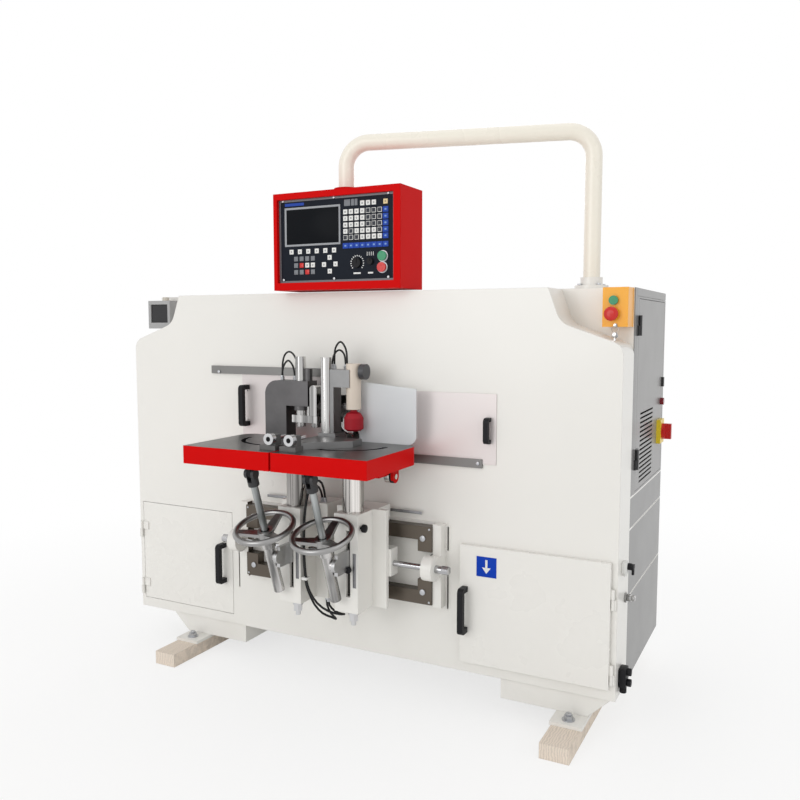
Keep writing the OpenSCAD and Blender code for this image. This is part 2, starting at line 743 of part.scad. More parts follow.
// One bed with ground ways, two saddles with column housings, and two lead screws
module mirrored(s, mid) {
    if (s > 0) children();
    else translate([2 * mid, 0, 0]) mirror([1, 0, 0]) children();
}
module bed_end() {
    block([way_out - tab_w, way_y, way_low], [way_out, bed_y, way_low + way_bar + tab_h]);
    block([way_out - tab_w, way_y, way_high - way_bar - tab_h], [way_out, bed_y, way_high]);
    block([way_out, way_y + 8, way_low - 8], [bed_out, bed_y, way_high + 8]);
    rod_x([bed_out - 35, screw_y, screw_z], 35, 76);
    block([bed_out - 35, screw_y, screw_z - 30], [bed_out, bed_y, screw_z + 30]);
}
module saddle_beds() {
    color(dark_iron) difference() {
        union() {
            block([2 * bed_mid - bed_out, bed_y, way_low - 8], [bed_out, 0, way_high + 8]);
            for (z = [way_low, way_high - way_bar])
                block([2 * bed_mid - way_out, way_y, z], [way_out, bed_y, z + way_bar]);
            for (s = [-1, 1]) mirrored(s, bed_mid) bed_end();
        }
        for (s = [-1, 1]) mirrored(s, bed_mid) {
            rod_x([bed_out - 36, screw_y, screw_z], 40, screw_d + 2 * run_fit);
            for (z = [way_low + 38, way_high - 38]) rod_y([way_out - 30, way_y - eps, z], 14, 16);
        }
    }
}
module saddle() {
    x0 = right_col + saddle_off - saddle_w / 2 + 18;
    x1 = x0 + saddle_w;
    nut = 43;
    face = 14;
    body = x1 - 36;
    hx = right_col;
    difference() {
        union() {
            block([x0, saddle_front, saddle_low], [x1, saddle_front + face, saddle_low + saddle_h]);
            block([x0, saddle_front, saddle_low], [body, way_y - slide_fit, saddle_low + saddle_h]);
            block([x0, way_y - slide_fit - eps, way_high + slide_fit], [body, bed_y - 8, saddle_low + saddle_h]);
            block([x0, way_y - slide_fit - eps, saddle_low], [body, bed_y - 8, way_low - slide_fit]);
            block([body - eps, saddle_front + face - eps, screw_z - nut + 5],
                [x1 + 9, way_y - slide_fit - 8, screw_z + nut + 5]);
            block([hx - housing_w / 2, housing_front, saddle_low + 3],
                [hx + housing_w / 2, saddle_front + eps, saddle_low + 3 + housing_h]);
            rod_z([hx, -col_y, saddle_low - 16], 20, 34);
            translate([hx, -col_y, saddle_low - 36]) cylinder(h = 21, d = 30, $fn = 6);
            rod_z([hx, -col_y, saddle_low - 50], 15, 16);
        }
        block([x0 - eps, bed_y - 12, way_low - 9], [x1 + eps, bed_y, way_high + 9]);
        rod_z([hx, -col_y, saddle_low + 18], saddle_h, col_d + 2 * run_fit);
        rod_x([x0 - eps, screw_y, screw_z], saddle_w + 20, screw_d + 2 * run_fit);
    }
}
slot_w = 15;
slot_x = strut_x + 26;
module housing_slot(cx) {
    block([cx + slot_x - slot_w / 2, housing_front - eps, saddle_low + 52],
        [cx + slot_x + slot_w / 2, -col_y, saddle_low + 257]);
}
module right_saddle() {
    color(ivory) difference() {
        saddle();
        housing_slot(right_col);
    }
}
module left_saddle() {
    color(ivory) difference() {
        mirrored(-1, units_mid) saddle();
        housing_slot(left_col);
    }
}
module lead_screw() {
    start = right_col - 45;
    rod_x([start, screw_y, screw_z], bed_out - start + 30, screw_d);
    rod_x([bed_out + slide_fit, screw_y, screw_z], 22, screw_d + 6);
    translate([bed_out + 22, screw_y, screw_z]) rotate([0, 90, 0]) cylinder(h = 22, d = 28, $fn = 6);
}
module right_lead_screw() { color(polished) lead_screw(); }
module left_lead_screw() { color(polished) mirrored(-1, bed_mid) lead_screw(); }
hose_d = 7;
saddle_route = [
    [[-14, -88, 627.4], [-14, -90, 655], [-15, -104, 690], [-17, -132, 704], [-19, -162, 690], [-20, -184, 650],
        [-20, -196, 600], [-21, -199, 545], [-21, -199, 480], [-17, -197, 410], [-10, -190, 366], [14, -182, 326],
        [48, -170, 302], [74, -148, 290], [76, -122, 282], [56, -104, 274], [26, -97, 276], [4, -95, 292],
        [1, -95, 317.4]],
    [[-23, -88, 627.4], [-23, -92, 650], [-23, -108, 676], [-24, -132, 686], [-26, -158, 676], [-28, -176, 640],
        [-29, -186, 595], [-30, -189, 545], [-30, -189, 480], [-27, -186, 400], [-20, -182, 362], [0, -176, 318],
        [24, -166, 290], [44, -148, 276], [46, -124, 262], [30, -104, 258], [4, -88, 264], [-13, -82, 286],
        [-15, -80, 317.4]]];
module saddle_hoses() {
    color(black) for (points = saddle_route) hose(points, hose_d, [1, 0.3, 0]);
}

// Columns with the tilt head, and the struts
head_w = 109;
head_low = pivot_z + 6;
ear = 16;
module column(cx, mid) {
    rod_z([cx, -col_y, saddle_low + 60], head_low - saddle_low - 60, col_d);
    block([mid - head_w, -col_y - 34, head_low], [mid + head_w, pivot_y + 22, head_low + 22]);
    translate([mid, 0, 0]) for (s = [0, 180]) translate([0, pivot_y, 0]) rotate([0, 0, s]) {
        block([head_w - ear, -20, pivot_z], [head_w, 20, head_low + 22]);
        rod_x([head_w - ear, 0, pivot_z], ear, 40);
        rod_x([head_w - ear - 4, 0, pivot_z], ear + 20, pin_d);
    }
}
module left_column() { color(polished) column(left_col, left_head); }
module right_column() { color(polished) column(right_col, right_head); }
plate_w = 12;
module strut_bracket(cx) {
    px = cx + slot_x;
    difference() {
        union() {
            block([px - plate_w / 2, strut_foot_y, strut_foot_z - 32], [px + plate_w / 2, -col_y, strut_foot_z + 32]);
            rod_x([px - plate_w / 2, strut_foot_y, strut_foot_z], plate_w, 40);
            rod_x([cx + strut_x + tube_d / 2 + 1, strut_foot_y, strut_foot_z], slot_x - strut_x - tube_d / 2, 12);
        }
        rod_z([cx, -col_y, strut_foot_z - 80], 160, col_d);
    }
}
module left_strut_bracket() { color(grey_paint) strut_bracket(left_col); }
module right_strut_bracket() { color(grey_paint) strut_bracket(right_col); }
module on_strut(cx) {
    translate([cx + strut_x, strut_foot_y, strut_foot_z]) rotate([strut_a, 0, 0]) children();
}
tube_low = -124;
tube_top = wheel_at - 14;
ear_gap = slide_fit;
module strut_tube(cx) {
    ear_out = slot_x - strut_x - plate_w / 2 - ear_gap;
    on_strut(cx) difference() {
        union() {
            rod_z([0, 0, tube_low], tube_top - tube_low, tube_d);
            rod_z([0, 0, 36], 22, tube_d + 10);
            rod_x([0, 0, 0], ear_out, 30);
            rod_x([-58, 0, 47], 60, 14);
            translate([-50, -26, 47]) rotate([-90, 0, 0]) cylinder(h = 52, d = 11);
        }
        rod_z([0, 0, tube_low - eps], tube_top - tube_low + 2 * eps, tube_bore);
        rod_x([tube_d / 2 - 1, 0, 0], 40, 12 + 2 * run_fit);
    }
}
module left_strut_tube() { color(polished) strut_tube(left_col); }
module right_strut_tube() { color(polished) strut_tube(right_col); }
hub_d = 48;
hub_low = wheel_at - 40;
spoke_n = 3;
module handwheel(cx) {
    on_strut(cx) difference() {
        union() {
            translate([0, 0, wheel_at]) rotate_extrude() translate([wheel_r, 0]) circle(rim_r, $fn = 32);
            rod_z([0, 0, hub_low], 32, hub_d);
            intersection() {
                translate([0, 0, wheel_at]) rotate_extrude()
                    polygon([[18, -27], [wheel_r, -5], [wheel_r, 4], [18, -15]]);
                union() for (i = [0:spoke_n - 1]) rotate([0, 0, 90 + i * 360 / spoke_n])
                    translate([0, 0, wheel_at - 35]) linear_extrude(50)
                        polygon([[10, -17], [wheel_r + 1, -10], [wheel_r + 1, 10], [10, 17]]);
            }
        }
        rod_z([0, 0, hub_low - eps], tube_top - hub_low + eps + slide_fit, tube_d + 2 * run_fit);
        rod_z([0, 0, hub_low - eps], 60, tube_bore);
    }
}
module left_handwheel() { color(polished) handwheel(left_col); }
module right_handwheel() { color(polished) handwheel(right_col); }
rod_end = 18;
fork_d = 34;
fork_gap = 14;
module strut_rod(cx) {
    on_strut(cx) difference() {
        union() {
            rod_z([0, 0, rod_end], strut_l - 32 - rod_end, rod_d);
            rod_z([0, 0, strut_l - 38], 38, fork_d);
            rod_x([-fork_d / 2, 0, strut_l], fork_d, 30);
        }
        block([-fork_gap / 2 - slide_fit, -30, strut_l - 22], [fork_gap / 2 + slide_fit, 30, strut_l + 30]);
    }
    on_strut(cx) rod_x([-fork_d / 2, 0, strut_l], fork_d, 12);
}
module left_strut_rod() { color([0.55, 0.56, 0.57]) strut_rod(left_col); }
module right_strut_rod() { color([0.55, 0.56, 0.57]) strut_rod(right_col); }

// Tables: a ribbed casting with a rounded back corner at its outer end
table_back_y = -table_back;
table_front_y = -table_back - table_d;
slot_centre = [115, -134];
slot_r = 132;
module table_outline(w, t) {
    difference() {
        translate([t, table_front_y + t]) square([w - 2 * t, table_d - 2 * t]);
        translate([w - table_r, table_back_y - table_r]) difference() {
            square(table_r + 1);
            circle(table_r - t);
        }
    }
}
slot_a = [-112, -6];
module arc_slot() {
    wide = 14;
    rotate([0, 0, slot_a[0]]) rotate_extrude(angle = slot_a[1] - slot_a[0]) translate([slot_r - wide / 2, 0]) square([wide, 20]);
    for (a = slot_a)
        translate([slot_r * cos(a), slot_r * sin(a), 0]) cylinder(h = 20, d = wide + 5);
}
// Table of width w with its inner end at x = 0, its tilt head at x = c and its strut at x = k
module table(w, c, k) {
    rim = 10;
    under = table_z - table_skin + 1;
    difference() {
        union() {
            difference() {
                translate([0, 0, table_low]) linear_extrude(table_t) table_outline(w, 0);
                translate([0, 0, table_low - eps]) linear_extrude(table_t - table_skin + eps) table_outline(w, rim);
            }
            for (y = [-150, -270])
                block([rim - 1, y - 5, table_low + 10], [w - rim + 1, y + 5, under]);
            for (s = [-1, 1]) {
                lug = c + (s > 0 ? head_w + slide_fit : -head_w - slide_fit - 14);
                block([lug, pivot_y - 20, pivot_z], [lug + 14, pivot_y + 20, under]);
                rod_x([lug, pivot_y, pivot_z], 14, 40);
            }
            block([k - fork_gap / 2, strut_head_y - 13, strut_head_z], [k + fork_gap / 2, strut_head_y + 13, under]);
            rod_x([k - fork_gap / 2, strut_head_y, strut_head_z], fork_gap, 26);
        }
        rod_x([-10, pivot_y, pivot_z], w + 20, pin_d + 2 * run_fit);
        rod_x([k - 20, strut_head_y, strut_head_z], 40, 12 + 2 * run_fit);
        translate([slot_centre[0], slot_centre[1], table_z - table_skin - 2]) arc_slot();
    }
}
right_edge = tables_mid + table_gap / 2;
left_edge = tables_mid - table_gap / 2;
module right_table() {
    color(red_paint) translate([right_edge, 0, 0])
        table(right_table_w, right_head - right_edge, right_col + strut_x - right_edge);
}
module left_table() {
    color(red_paint) translate([left_edge, 0, 0]) mirror([1, 0, 0])
        table(left_table_w, left_edge - left_head, left_edge - left_col - strut_x);
}

// Clamps, fence, shield and stops on the tables
clamp_y = -98;
arm_low = casing_z + 815;
arm_high = casing_z + 895;
guide_x = -95;
pin_x = -66;
press_low = casing_z + 762;
leg_x = -217;
leg_w = 82;
arm_end = -52;
module left_clamp_frame() {
    r = 45;
    color([0.45, 0.44, 0.44]) difference() {
        union() {
            translate([0, -70, 0]) rotate([90, 0, 0]) linear_extrude(54) union() {
                translate([leg_x, table_z]) square([leg_w, arm_high - table_z - r]);
                translate([leg_x + r, arm_low]) square([arm_end - leg_x - r, arm_high - arm_low]);
                translate([leg_x + r, arm_high - r]) circle(r);
                translate([leg_x, arm_high - 2 * r]) square([r, r]);
            }
            rod_z([pin_x, clamp_y, arm_high - eps], 40, 26);
            rod_z([guide_x, clamp_y, arm_low - 14], 30, post_d + 14);
        }
        rod_z([guide_x, clamp_y, arm_low - 20], 160, post_d + 2 * run_fit);
        rod_z([pin_x, clamp_y, arm_low - 20], 142, 12 + 2 * run_fit);
    }
}
module left_clamp_press() {
    shoe = [arm_end + 4, -22];
    color(polished) {
        block([guide_x - 22, clamp_y - 20, press_low], [shoe[1], clamp_y + 20, press_low + 24]);
        rod_z([guide_x, clamp_y, press_low + 23], casing_z + 972 - press_low - 23, post_d);
        rod_z([pin_x, clamp_y, press_low + 23], arm_high + 30 - press_low - 23, 12);
        for (x = [guide_x, -40]) rod_z([x, clamp_y, press_low - 14], 15, 30);
        block([shoe[0], clamp_y - 22, press_low + 23], [shoe[1], clamp_y + 22, arm_high - 25]);
        rod_y([(shoe[0] + shoe[1]) / 2, clamp_y - 22, arm_high - 25], 44, shoe[1] - shoe[0]);
    }
}
fence_t = 20;
fence_in = right_edge + 3;
module right_fence() {
    color(ground_iron) translate([0, 0, table_z]) linear_extrude(fence_t)
        polygon([[fence_in, -300], [36, -300], [150, -190], [150, -135], [60, -135], [60, -72], [fence_in, -72]]);
}
cyl_x = 101;
cyl_y = -99;
cyl_low = casing_z + 772;
guide_at = [15, -121];
module right_clamp_frame() {
    z0 = table_z + fence_t;
    color([0.55, 0.54, 0.53]) difference() {
        union() {
            block([8, -126, z0], [44, -80, casing_z + 935]);
            block([-4, -140, z0], [58, -78, z0 + 10]);
            block([8, -126, casing_z + 880], [cyl_x, -80, casing_z + 935]);
            rod_z([guide_at[0], guide_at[1], z0], casing_z + 972 - z0, post_d);
            rod_z([cyl_x, cyl_y, cyl_low + 40], casing_z + 953 - cyl_low - 40, cylinder_d);
            rod_x([cyl_x, cyl_y, casing_z + 929], 30, 22);
            rod_x([cyl_x + 28, cyl_y, casing_z + 929], 18, 48);
        }
        rod_z([cyl_x, cyl_y, cyl_low], 150, 20 + 2 * run_fit);
    }
}
module right_clamp_foot() {
    color([0.75, 0.1, 0.12]) {
        rod_z([cyl_x, cyl_y, cyl_low + 20], 110, 20);
        translate([cyl_x, cyl_y, cyl_low - 27]) rotate_extrude()
            polygon([[0, 0], [foot_d / 2 - 8, 0], [foot_d / 2, 6], [foot_d / 2, 40], [foot_d / 2 - 8, 54], [10, 60], [0, 60]]);
    }
}
shield_x = [102, 300];
shield_t = 4;
module chip_shield() {
    r = 28;
    high = casing_z + 897;
    color([0.8, 0.83, 0.85]) translate([0, table_back_y - 1, 0]) rotate([90, 0, 0]) linear_extrude(shield_t) union() {
        polygon([[shield_x[0], table_z], [shield_x[1] - r, table_z], [shield_x[1] - r, table_z + r],
            [shield_x[1], table_z + r], [shield_x[1], high - 18], [shield_x[0], high]]);
        translate([shield_x[1] - r, table_z + r]) circle(r);
    }
}
stop_y = -330;
stop_off = 11;
module bench_stop(cx) {
    color(dark_iron) difference() {
        union() {
            block([cx - 28, stop_y - 16, table_z], [cx + 28, stop_y + 24, table_z + 14]);
            block([cx + stop_off - 13, stop_y - 8, table_z + 13], [cx + stop_off + 13, stop_y + 20, table_z + 46]);
        }
        rod_y([cx + stop_off, stop_y - 20, table_z + 34], 60, 12);
    }
    color(polished) {
        rod_y([cx + stop_off, stop_y - 12, table_z + 34], 70, 12);
        rod_y([cx + stop_off, stop_y - 26, table_z + 34], 18, 34);
    }
}
module left_stop() { bench_stop(-48); }
module right_stop() { bench_stop(23); }
clamp_hose_d = 6;
left_hose_route = [
    [[-112, -84, 1015.4], [-113, -84, 1040], [-119, -84, 1075], [-134, -83, 1099], [-152, -82, 1106],
        [-168, -82, 1094], [-176, -82, 1068], [-177, -82, 1040], [-176, -82, 1015.4]],
    [[-122, -92, 1015.4], [-123, -92, 1036], [-130, -92, 1062], [-147, -92, 1078], [-164, -92, 1062],
        [-171, -92, 1036], [-171, -92, 1015.4]]];
right_hose_route = [
    [[74, -94, 1055.4], [75, -94, 1082], [70, -93, 1118], [50, -91, 1140], [30, -89, 1120], [25, -87, 1085],
        [25, -86, 1055.4]],
    [[62, -82, 1055.4], [62, -82, 1076], [56, -81, 1102], [38, -80, 1114], [20, -80, 1100], [13, -80, 1076],
        [13, -80, 1055.4]]];
module left_clamp_hoses() { color(black) for (p = left_hose_route) hose(p, clamp_hose_d, [0, 1, 0]); }
module right_clamp_hoses() { color(black) for (p = right_hose_route) hose(p, clamp_hose_d, [0, 1, 0]); }

// Tenoning spindle on its cross carriage behind the work window
spindle_x = 24;
spindle_z = casing_z + 770;
carriage_y = beam_y - 38;
motor_d = 150;
spindle_d = 30;
module spindle_carriage() {
    color(grey_paint) difference() {
        union() {
            block([spindle_x - 110, carriage_y, beam_low], [spindle_x + 110, beam_y - 5, spindle_z + 80]);
            rod_y([spindle_x, 150, spindle_z], carriage_y - 149, motor_d);
            rod_y([spindle_x, 90, spindle_z], 61, 74);
        }
        for (z = rail_at)
            block([spindle_x - 111, beam_y - rail_out - slide_fit, beam_low + z - 9 - slide_fit],
                [spindle_x + 111, beam_y, beam_low + z + 9 + slide_fit]);
        rod_y([spindle_x, 89, spindle_z], 100, spindle_d + 2 * run_fit);
        block([spindle_x - 111, beam_y - 6, beam_low + beam_s - eps], [spindle_x + 111, beam_y, spindle_z + 90]);
    }
}
knife_n = 4;
module cutter_head() {
    color(polished) {
        rod_y([spindle_x, 30, spindle_z], 150, spindle_d);
        difference() {
            rod_y([spindle_x, 30, spindle_z], 44, 116);
            for (i = [0:knife_n - 1]) translate([spindle_x, 30, spindle_z]) rotate([0, i * 360 / knife_n, 0])
                block([40, -1, 0], [60, 45, 18]);
        }
        for (i = [0:knife_n - 1]) translate([spindle_x, 32, spindle_z]) rotate([0, i * 360 / knife_n, 0])
            block([40, 0, -8], [64, 40, 0.5]);
    }
}

placed() base_frame();
placed() bearers();
placed() front_casing();
placed() rear_casing();
placed() door_hinges();
placed() guard_rails();
placed() saddle_beds();
placed() cabinet();
placed() button_box();
placed() breaker_box();
placed() arm_socket();
placed() left_door();
placed() left_door_handle();
placed() right_door();
placed() right_door_handle();
placed() left_guard();
placed() left_guard_handle();
placed() right_guard();
placed() right_guard_pull();
placed() cabinet_door();
placed() cabinet_fittings();
placed() main_switch_knob();
placed() start_button();
placed() stop_button();
placed() arm_tube();
placed() control_box();
placed() control_panel();
placed() feed_dial();
placed() mode_switch();
placed() panel_start_button();
placed() panel_stop_button();
placed() left_saddle();
placed() right_saddle();
placed() left_lead_screw();
placed() right_lead_screw();
placed() saddle_hoses();
placed() left_column();
placed() right_column();
placed() left_strut_bracket();
placed() right_strut_bracket();
placed() left_strut_tube();
placed() right_strut_tube();
placed() left_handwheel();
placed() right_handwheel();
placed() left_strut_rod();
placed() right_strut_rod();
placed() left_table();
placed() right_table();
placed() left_clamp_frame();
placed() right_clamp_frame();
placed() right_fence();
placed() chip_shield();
placed() left_stop();
placed() right_stop();
placed() left_clamp_press();
placed() right_clamp_foot();
placed() left_clamp_hoses();
placed() right_clamp_hoses();
placed() spindle_carriage();
placed() cutter_head();
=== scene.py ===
import math

import bmesh
import bpy
from mathutils import Matrix, Vector


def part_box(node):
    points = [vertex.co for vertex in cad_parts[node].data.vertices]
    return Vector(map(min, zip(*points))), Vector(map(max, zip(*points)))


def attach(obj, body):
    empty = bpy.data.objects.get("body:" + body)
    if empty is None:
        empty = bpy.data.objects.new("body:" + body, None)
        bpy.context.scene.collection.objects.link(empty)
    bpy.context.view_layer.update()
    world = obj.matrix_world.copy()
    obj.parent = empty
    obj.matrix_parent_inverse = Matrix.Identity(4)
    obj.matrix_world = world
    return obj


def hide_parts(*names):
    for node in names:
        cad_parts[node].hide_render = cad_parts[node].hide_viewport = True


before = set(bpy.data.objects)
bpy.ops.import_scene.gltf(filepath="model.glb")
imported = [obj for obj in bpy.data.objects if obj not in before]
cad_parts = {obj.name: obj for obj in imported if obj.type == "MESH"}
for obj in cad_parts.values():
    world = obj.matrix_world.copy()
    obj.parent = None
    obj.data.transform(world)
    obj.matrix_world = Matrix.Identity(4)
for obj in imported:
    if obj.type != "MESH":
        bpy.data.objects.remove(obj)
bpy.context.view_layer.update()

bl_info = {
    "name": "Tenoning machine dressing",
    "version": (1, 0, 0),
    "blender": (4, 5, 0),
    "location": "View3D > Sidebar > Tenoner",
    "description": "Finishes, panel, hoses and small fittings of a twin-table tenoning machine",
    "category": "Object",
}

# The front casing's box gives the machine's own axes: the casing's middle and its front face, over the floor
casing_low, casing_high = (Vector(c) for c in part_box("front_casing"))
casing_mid_x = (casing_low.x + casing_high.x) / 2
casing_front_y = casing_low.y


def at(x, y, z):
    """Point in metres from millimetres off the casing's middle, its front face and the floor."""
    return Vector((casing_mid_x + x / 1000, casing_front_y + y / 1000, z / 1000))


class Term:
    """A shader socket that takes part in Python expressions."""

    def __init__(self, shade, socket):
        self.shade = shade
        self.socket = socket

    def calc(self, operation, *values):
        return self.shade.node("ShaderNodeMath", {"operation": operation}, dict(enumerate(values)))

    def __add__(self, other):
        return self.calc("ADD", self, other)

    def __radd__(self, other):
        return self.calc("ADD", other, self)

    def __sub__(self, other):
        return self.calc("SUBTRACT", self, other)

    def __rsub__(self, other):
        return self.calc("SUBTRACT", other, self)

    def __mul__(self, other):
        return self.calc("MULTIPLY", self, other)

    def __rmul__(self, other):
        return self.calc("MULTIPLY", other, self)

    def __pow__(self, other):
        return self.calc("POWER", self, other)

    def __gt__(self, other):
        return self.calc("GREATER_THAN", self, other)

    def __lt__(self, other):
        return self.calc("LESS_THAN", self, other)

    def __abs__(self):
        return self.calc("ABSOLUTE", self)

    def either(self, other):
        return self.calc("MAXIMUM", self, other)

    def root(self):
        return self.calc("SQRT", self)


class Shade:
    """One material, built from nodes."""

    def __init__(self, name):
        self.material = bpy.data.materials.new(name)
        self.material.use_nodes = True
        self.tree = self.material.node_tree
        self.shader = next(n for n in self.tree.nodes if n.type == "BSDF_PRINCIPLED")
        self.place = self.node("ShaderNodeTexCoord", out=3)
        self.x, self.y, self.z = (self.node("ShaderNodeSeparateXYZ", None, {0: self.place}, i)
                                  for i in range(3))

    def node(self, kind, settings=None, sockets=None, out=0):
        """Add a node with its settings and inputs, and give one of its outputs."""
        made = self.tree.nodes.new(kind)
        for key, value in (settings or {}).items():
            if key == "stops":
                ramp = made.color_ramp
                while len(ramp.elements) < len(value):
                    ramp.elements.new(1.0)
                for element, (spot, colour) in zip(ramp.elements, value):
                    element.position = spot
                    element.color = colour
            else:
                setattr(made, key, value)
        for key, value in (sockets or {}).items():
            if isinstance(value, Term):
                self.tree.links.new(value.socket, made.inputs[key])
            else:
                made.inputs[key].default_value = value
        return Term(self, made.outputs[out])

    def mixed(self, mask, first, second):
        """The first colour where the mask is 0, the second where it is 1."""
        return self.node("ShaderNodeMix", {"data_type": "RGBA"}, {0: mask, 6: first, 7: second}, 2)

    def noise(self, scale, detail=3.0, stretch=(1, 1, 1), rough=0.55):
        spot = self.node("ShaderNodeMapping", None, {"Vector": self.place, "Scale": stretch})
        return self.node("ShaderNodeTexNoise", None,
                         {"Vector": spot, "Scale": scale, "Detail": detail, "Roughness": rough})

    def between(self, value, low, high):
        return (value > low) * (value < high)

    def facing(self, axis):
        """The surface's own direction along one axis of the machine."""
        turned = self.node("ShaderNodeTexCoord", out=1)
        return self.node("ShaderNodeSeparateXYZ", None, {0: turned}, axis)

    def off_axis(self, a, a0, b, b0):
        """Distance from a line through a0, b0."""
        return ((a - a0) ** 2.0 + (b - b0) ** 2.0).root()

    def surface(self, colour, rough, metal=0.0, height=None, strength=0.2, distance=0.0005, edge=0.0012,
                coat=0.0, alpha=None, spec=None):
        """Set the shader and give the material; height makes a bump, edge rounds corners in the light."""
        for key, value in (("Base Color", colour), ("Roughness", rough), ("Metallic", metal),
                           ("Alpha", alpha)):
            if value is None:
                continue
            if isinstance(value, Term):
                self.tree.links.new(value.socket, self.shader.inputs[key])
            else:
                self.shader.inputs[key].default_value = value
        if spec is not None:
            self.shader.inputs["Specular IOR Level"].default_value = spec
        if coat:
            self.shader.inputs["Coat Weight"].default_value = coat
            self.shader.inputs["Coat Roughness"].default_value = 0.08
        normal = None
        if edge:
            normal = self.node("ShaderNodeBevel", {"samples": 4}, {"Radius": edge})
        if height is not None:
            sockets = {"Strength": strength, "Distance": distance, "Height": height}
            if normal:
                sockets["Normal"] = normal
            normal = self.node("ShaderNodeBump", None, sockets)
        if normal:
            self.tree.links.new(normal.socket, self.shader.inputs["Normal"])
        return self.material


def rgba(colour):
    return (colour[0], colour[1], colour[2], 1.0)


def dim(colour, share):
    return (colour[0] * share, colour[1] * share, colour[2] * share, 1.0)


def colour_prop(name, description, default):
    return bpy.props.FloatVectorProperty(name=name, description=description, subtype="COLOR", size=3,
                                         min=0.0, max=1.0, default=default)


def length_prop(name, description, default):
    return bpy.props.FloatProperty(name=name, description=description, subtype="DISTANCE", unit="LENGTH",
                                   min=0.0, default=default)


class TenonerColours(bpy.types.PropertyGroup):
    """Colours that a user would change."""
    casing: colour_prop("Casing", "Enamel of the casing, doors and saddles", (0.82, 0.805, 0.765))
    arm: colour_prop("Arm", "Enamel of the control arm", (0.86, 0.815, 0.715))
    cabinet: colour_prop("Cabinet", "Enamel of the electrical cabinet and the right end",
                         (0.240, 0.236, 0.233))
    red: colour_prop("Red", "Enamel of the control box and the table edges", (0.60, 0.003, 0.003))
    timber: colour_prop("Timber", "Weathered timber of the bearers", (0.86, 0.745, 0.63))
    station: colour_prop("Station", "Plastic of the push-button station", (0.93, 0.42, 0.03))
    key_white: colour_prop("Key", "Plastic of the pale panel keys", (0.82, 0.82, 0.80))
    key_blue: colour_prop("Blue key", "Plastic of the blue panel keys", (0.008, 0.055, 0.38))


class TenonerSizes(bpy.types.PropertyGroup):
    """Sizes that a user would change."""
    key_w: length_prop("Key width", "Width of a panel key", 0.0150)
    key_h: length_prop("Key height", "Height of a panel key", 0.0150)
    key_t: length_prop("Key thickness", "How far a panel key stands out", 0.0018)
    saddle_hose: length_prop("Saddle hose", "Diameter of the hoses on the left saddle", 0.007)
    clamp_hose: length_prop("Clamp hose", "Diameter of the clamps' air hoses", 0.006)


def colours():
    return bpy.context.scene.tenoner_colours


def sizes():
    return bpy.context.scene.tenoner_sizes


# Finishes

finishes = {}
grime_z = (0.04, 0.42)


def enamel(name, colour, rough=0.32, peel=0.12, grime=0.0, coat=0.15, spec=None):
    """Sprayed enamel with a faint orange peel, and some floor dirt low down."""
    s = Shade(name)
    cloud = s.noise(2.3, 4.0)
    tone = s.mixed(cloud, rgba(colour), dim(colour, 0.955))
    if grime:
        fade = s.node("ShaderNodeMapRange", {"clamp": True},
                      {0: s.z, 1: grime_z[0], 2: grime_z[1], 3: 1.0, 4: 0.0})
        spots = s.node("ShaderNodeValToRGB", {"stops": [(0.42, (0, 0, 0, 1)), (0.72, (1, 1, 1, 1))]},
                       {0: s.noise(9.0, 8.0, rough=0.7)})
        tone = s.mixed(fade * spots * grime, tone, dim((0.62, 0.58, 0.50), 0.8))
    return s.surface(tone, s.noise(7.0, 3.0) * 0.10 + (rough - 0.05), height=s.noise(260.0, 2.0),
                     strength=peel, distance=0.0004, edge=0.0018, coat=coat, spec=spec)


def metal(name, colour, rough=0.2, brushed=(1, 1, 1), grain=380.0, strength=0.06, edge=0.001, tarnish=0.12):
    """Bare metal with fine machining lines along one way and soft tarnish."""
    s = Shade(name)
    lines = s.noise(grain, 4.0, brushed)
    cloud = s.noise(11.0, 5.0, rough=0.6)
    tone = s.mixed(cloud, rgba(colour), dim(colour, 1.0 - tarnish))
    return s.surface(tone, cloud * 0.14 + lines * 0.06 + (rough - 0.08), 1.0, lines, strength, 0.0003, edge)


def painted_reflection_bands(s, dark, pale, along=(1, 1, 0.02), scale=46.0):
    """Painted reflection: tone that varies round a turned bar and runs along it, light and dark bands in
    place of what the bar reflects.
    """
    wave = s.node("ShaderNodeMapRange", {"clamp": True}, {0: s.noise(scale, 2.0, along), 1: 0.36, 2: 0.64})
    return s.mixed(wave, rgba(dark), rgba(pale))


def polished_with_painted_reflections(name, dark, pale, rough, along=(1, 1, 0.02), scale=46.0):
    """Polished bar with painted reflections: light and dark streaks along it."""
    s = Shade(name)
    return s.surface(painted_reflection_bands(s, dark, pale, along, scale), s.noise(11.0, 4.0) * 0.08 + (rough - 0.04), 1.0,
                     s.noise(300.0, 3.0, along), 0.02, 0.0003, 0.001)


def plastic(name, colour, rough=0.35, grain=900.0, strength=0.10, coat=0.0, edge=0.0008, spec=0.25):
    """Moulded plastic with a fine grain."""
    s = Shade(name)
    tone = s.mixed(s.noise(14.0, 3.0), rgba(colour), dim(colour, 0.9))
    return s.surface(tone, s.noise(25.0, 3.0) * 0.1 + (rough - 0.05), 0.0, s.noise(grain, 2.0), strength,
                     0.0002, edge, coat, spec=spec)


